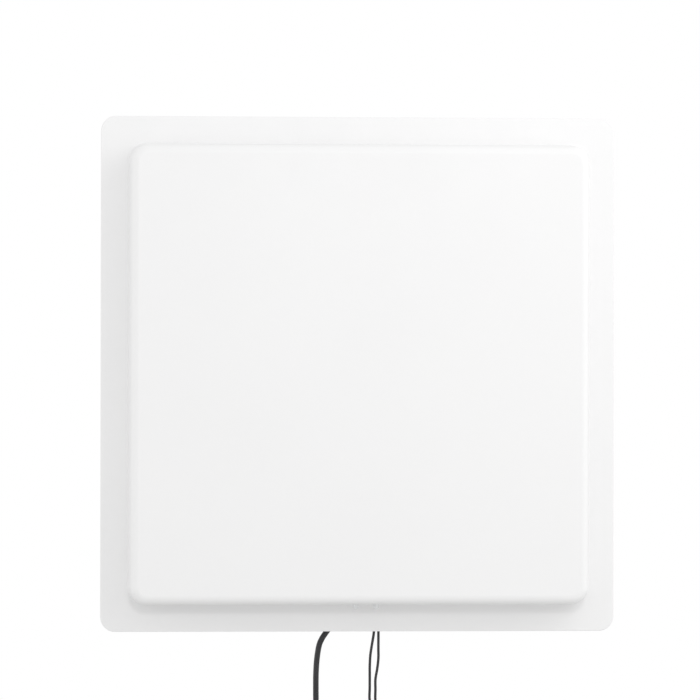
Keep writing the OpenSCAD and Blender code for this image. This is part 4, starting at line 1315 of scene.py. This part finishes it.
def add_cord_entry(side, cord_r):
    """The gland and the boot that one cord, or one pair of leads, leaves through."""
    x = middle_of(side + "_gland")[0]
    box_low_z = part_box("cable_box")[0].z
    made = group(gland(), [((x, CORD_Y, box_low_z), (0, 0, 1))])
    complete(made, side + "_cord_gland", "black_nylon", "panel", [side + "_gland"], 30)
    top = box_low_z - GLAND_COLLAR_H - GLAND_CAP_H
    made = boot(cord_r + 0.9 * MM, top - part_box(side + "_boot")[0].z)
    made = group(made, [((x, CORD_Y, top), (0, 0, 1))])
    complete(made, side + "_cord_boot", "seal_rubber", "panel", [side + "_boot"], 50)


def add_breather():
    """The vent plug: a fluted cap with a raised ring, on a threaded stem."""
    cap = turned(mm((0, 0), (7, 0), (7, 3.2), (6.2, 4.4), (4.6, 5), (4.2, 4.4), (2.2, 4.4), (1.8, 5), (0, 5)),
                 FLUTE_STEPS)
    flute(cap, 7 * MM, 0.1 * MM, 3.1 * MM)
    stem = threaded(3.95 * MM, 6 * MM, 1.25 * MM, 2 * MM)
    x, z = middle_of("vent_plug")
    made = group(join([cap, stem]), [((x, plate_high.y, z), (0, 1, 0))])
    complete(made, "breather", "black_nylon", "panel", ["vent_plug"], 30)


add_cord_entry("data", 2.5 * MM)
add_cord_entry("power", 3.4 * MM)
add_breather()

# ---- Plugs and ties on the cords --------------------------------------------------------------


def along_x(a, b):
    return abs(b.x - a.x) > 0.9 * (b - a).length


def along_z(a, b):
    return abs(b.z - a.z) > 0.9 * (b - a).length


def add_tie(node, name, slack):
    """A cable tie: its strap, the square head it locks in, and the trimmed tail."""
    low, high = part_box(node)
    middle = (low + high) / 2
    width = high.x - low.x
    strap = block(middle, high - low)
    begin(strap)
    pick_edges(strap, along_x)
    bevel(1.5 * MM, 5)
    pick_faces(strap, lambda middle, normal: abs(normal.x) > 0.9)
    bpy.ops.mesh.delete(type="ONLY_FACE")
    end()
    modify(strap, "SOLIDIFY", thickness=1 * MM, offset=-1, use_even_offset=True)
    modify(strap, "BEVEL", width=0.25 * MM, segments=2, limit_method="ANGLE", angle_limit=math.radians(50))
    head = bar((middle.x, high.y + 1.6 * MM, middle.z + 1 * MM), (width * 1.25, 3.4 * MM, width * 0.9))
    tail_at = (middle.x, high.y + slack, middle.z + width * 0.9)
    tail = bar(tail_at, (width * 0.8, 0.9 * MM, width * 1.1), 0.3 * MM, 2)
    complete(join([strap, head, tail]), name, "black_nylon", "swivel", [node], 35)


def add_plug_hood(x, y, z):
    """The moulded hood of the nine-way connector: shoulders, side grips and a ringed sleeve above."""
    hood = block((x, y, z - 31 * MM), (32 * MM, 15 * MM, 24 * MM))
    begin(hood)
    pick_faces(hood, lambda middle, normal: normal.z > 0.9)
    extrude((0, 0, 4 * MM))
    widen((0.62, 0.9, 1), (x, y, z))
    extrude((0, 0, 5 * MM))
    widen((0.8, 0.86, 1), (x, y, z))
    bpy.ops.mesh.select_mode(type="EDGE")
    bpy.ops.mesh.select_all(action="SELECT")
    bevel(1.1 * MM, 3)
    end()
    grip_size = (1.2 * MM, 11 * MM, 1.4 * MM)
    grips = [bar((x + side * 15.8 * MM, y, z - (24 + 3 * i) * MM), grip_size, 0.4 * MM, 2)
             for side in (-1, 1) for i in range(5)]
    sleeve = turned(mm((0, 0), (4, 0), (4.4, -0.8), (4.1, -2), (4.8, -2.8), (4.5, -4.2), (5.2, -5),
                       (4.9, -6.4), (5.6, -7.2), (5.6, -11), (0, -11)), 32)
    sleeve = group(sleeve, [((x, y, z), (0, 0, 1))])
    complete(join([hood, sleeve] + grips), "data_plug_hood", "black_nylon", "swivel",
             ["data_plug"], 35)


def add_plug_metal(x, y, z):
    """The pressed D-shaped shell with its flange, and the two long thumb screws."""
    shank = turned(mm((0, 0), (1.45, 0), (1.45, -38), (0, -38)), 16)
    knob = turned(mm((0, -1), (2.3, -1), (2.7, -0.6), (2.7, 6), (2.3, 6.4), (0, 6.4)), FLUTE_STEPS)
    flute(knob, 2.7 * MM, -0.5 * MM, 5.9 * MM, 4)
    spots = [((x + side * 12.5 * MM, y, z - 10 * MM), (0, 0, 1)) for side in (-1, 1)]
    screws = group(join([knob, shank]), spots)
    shell_w, taper = 18 * MM, 2 * MM
    shell = block((x, y, z - 46 * MM), (shell_w, 8 * MM, 6 * MM))
    begin(shell)
    pick_faces(shell, lambda middle, normal: normal.y > 0.9)
    widen((1 - taper / shell_w, 1, 1), (x, y, z))
    pick_faces(shell, lambda middle, normal: normal.z < -0.9)
    bpy.ops.mesh.delete(type="ONLY_FACE")
    pick_edges(shell, along_z)
    bevel(1.4 * MM, 4)
    end()
    modify(shell, "SOLIDIFY", thickness=0.5 * MM, offset=-1, use_even_offset=True)
    flange = bar((x, y, z - 43.3 * MM), (30 * MM, 12 * MM, 0.8 * MM), 0.3 * MM, 2)
    complete(join([shell, flange, screws]), "data_plug_metal", "zinc_plate", "swivel",
             angle=30)


def add_plug_pins(x, y, z):
    """Nine pins: a row of five and a row of four between them."""
    pitch, row_y = 2.76 * MM, 1.42 * MM
    pin = turned(mm((0, 0), (0.5, 0), (0.5, -4.6), (0.3, -5), (0, -5)), 12)
    rows = [((i - 2) * pitch, -row_y) for i in range(5)]
    rows += [((i - 1.5) * pitch, row_y) for i in range(4)]
    pins = group(pin, [((x + dx, y + dy, z - 43.5 * MM), (0, 0, 1)) for dx, dy in rows])
    complete(pins, "data_plug_pins", "yellow_brass", "swivel", angle=30)


def add_power_plug(x, y, z):
    """Coaxial power plug: a ringed sleeve, a fluted grip and a plated, bored tip."""
    sleeve = [(0, 0), (3, 0), (3.2, -0.5)]
    for i in range(5):
        r, d = 3.1 + 0.36 * i, -1.2 - 1.4 * i
        sleeve += [(r - 0.2, d), (r + 0.35, d - 0.4), (r + 0.35, d - 0.9)]
    grip = turned(mm(*sleeve, (4.6, -8.6), (5, -9.2), (5, -25), (4.4, -26), (0, -26)), FLUTE_STEPS)
    flute(grip, 5 * MM, -24.9 * MM, -9.3 * MM)
    grip = group(grip, [((x, y, z), (0, 0, 1))])
    complete(grip, "power_plug_grip", "black_nylon", "swivel", ["power_plug"], 35)
    tip = turned(mm((1.3, -27), (1.3, -35.5), (2.5, -35.5), (2.75, -35.2), (2.75, -29), (2.6, -28.7),
                    (2.6, -28.3), (2.75, -28), (2.75, -25.5), (0, -25.5), (0, -27), (1.3, -27)), 36)
    tip = group(tip, [((x, y, z), (0, 0, 1))])
    complete(tip, "power_plug_tip", "zinc_plate", "swivel", angle=35)


add_tie("data_tie", "data_coil_tie", 3.6 * MM)
add_tie("power_tie", "power_coil_tie", 3.4 * MM)
data_end = Vector(DATA_TAIL[-1]) * MM
power_end = (Vector(POWER_TAIL_A[-1]) + Vector(POWER_TAIL_B[-1])) / 2 * MM
add_plug_hood(*data_end)
add_plug_metal(*data_end)
add_plug_pins(*data_end)
add_power_plug(*power_end)
add_cords()

# ---- Light and floor --------------------------------------------------------------------------


def add_light(name, place, aim, size, power, colour=(1, 1, 1)):
    bpy.ops.object.light_add(type="AREA", location=place)
    light = bpy.context.object
    light.name = name
    light.data.shape = "DISK"
    light.data.size = size
    light.data.energy = power
    light.data.color = colour
    light.rotation_euler = (Vector(aim) - Vector(place)).to_track_quat("-Z", "Y").to_euler()


def add_studio():
    """A white room that is seen as pure white, dimmer as a source of light, and four soft lamps."""
    world = bpy.data.worlds.new("white_studio")
    bpy.context.scene.world = world
    world.use_nodes = True
    nodes, links = world.node_tree.nodes, world.node_tree.links
    ambient = nodes["Background"]
    ambient.inputs["Color"].default_value = (1, 1, 1, 1)
    ambient.inputs["Strength"].default_value = 0.86
    backdrop = nodes.new("ShaderNodeBackground")
    backdrop.inputs["Color"].default_value = (1, 1, 1, 1)
    rays = nodes.new("ShaderNodeLightPath")
    mix = nodes.new("ShaderNodeMixShader")
    links.new(rays.outputs["Is Camera Ray"], mix.inputs["Fac"])
    links.new(ambient.outputs["Background"], mix.inputs[1])
    links.new(backdrop.outputs["Background"], mix.inputs[2])
    links.new(mix.outputs["Shader"], nodes["World Output"].inputs["Surface"])
    panel = (0, -0.15, 0)
    add_light("front_lamp", (0.05, -4.0, 1.0), panel, 0.4, 14.5)
    add_light("upper_lamp", (0.7, -0.9, 0.7), panel, 0.9, 2.5)
    add_light("right_lamp", (1.4, -0.7, 0.2), panel, 1.0, 2.8)
    add_light("left_lamp", (-1.5, -0.5, 0.1), panel, 1.2, 2.3)
    scene = bpy.context.scene
    scene.view_settings.view_transform = "Standard"
    scene.view_settings.look = "None"


def add_floor():
    floor_r = 1.7
    bpy.ops.mesh.primitive_circle_add(vertices=96, radius=floor_r, fill_type="NGON",
                                      location=(0, 0, cad_low.z - 0.06))
    floor = bpy.context.object
    floor.name = "floor"
    material = bpy.data.materials.new("floor_paper")
    material.use_nodes = True
    shader = material.node_tree.nodes["Principled BSDF"]
    shader.inputs["Base Color"].default_value = (0.72, 0.72, 0.715, 1)
    shader.inputs["Roughness"].default_value = 0.9
    floor.data.materials.append(material)


add_studio()
add_floor()
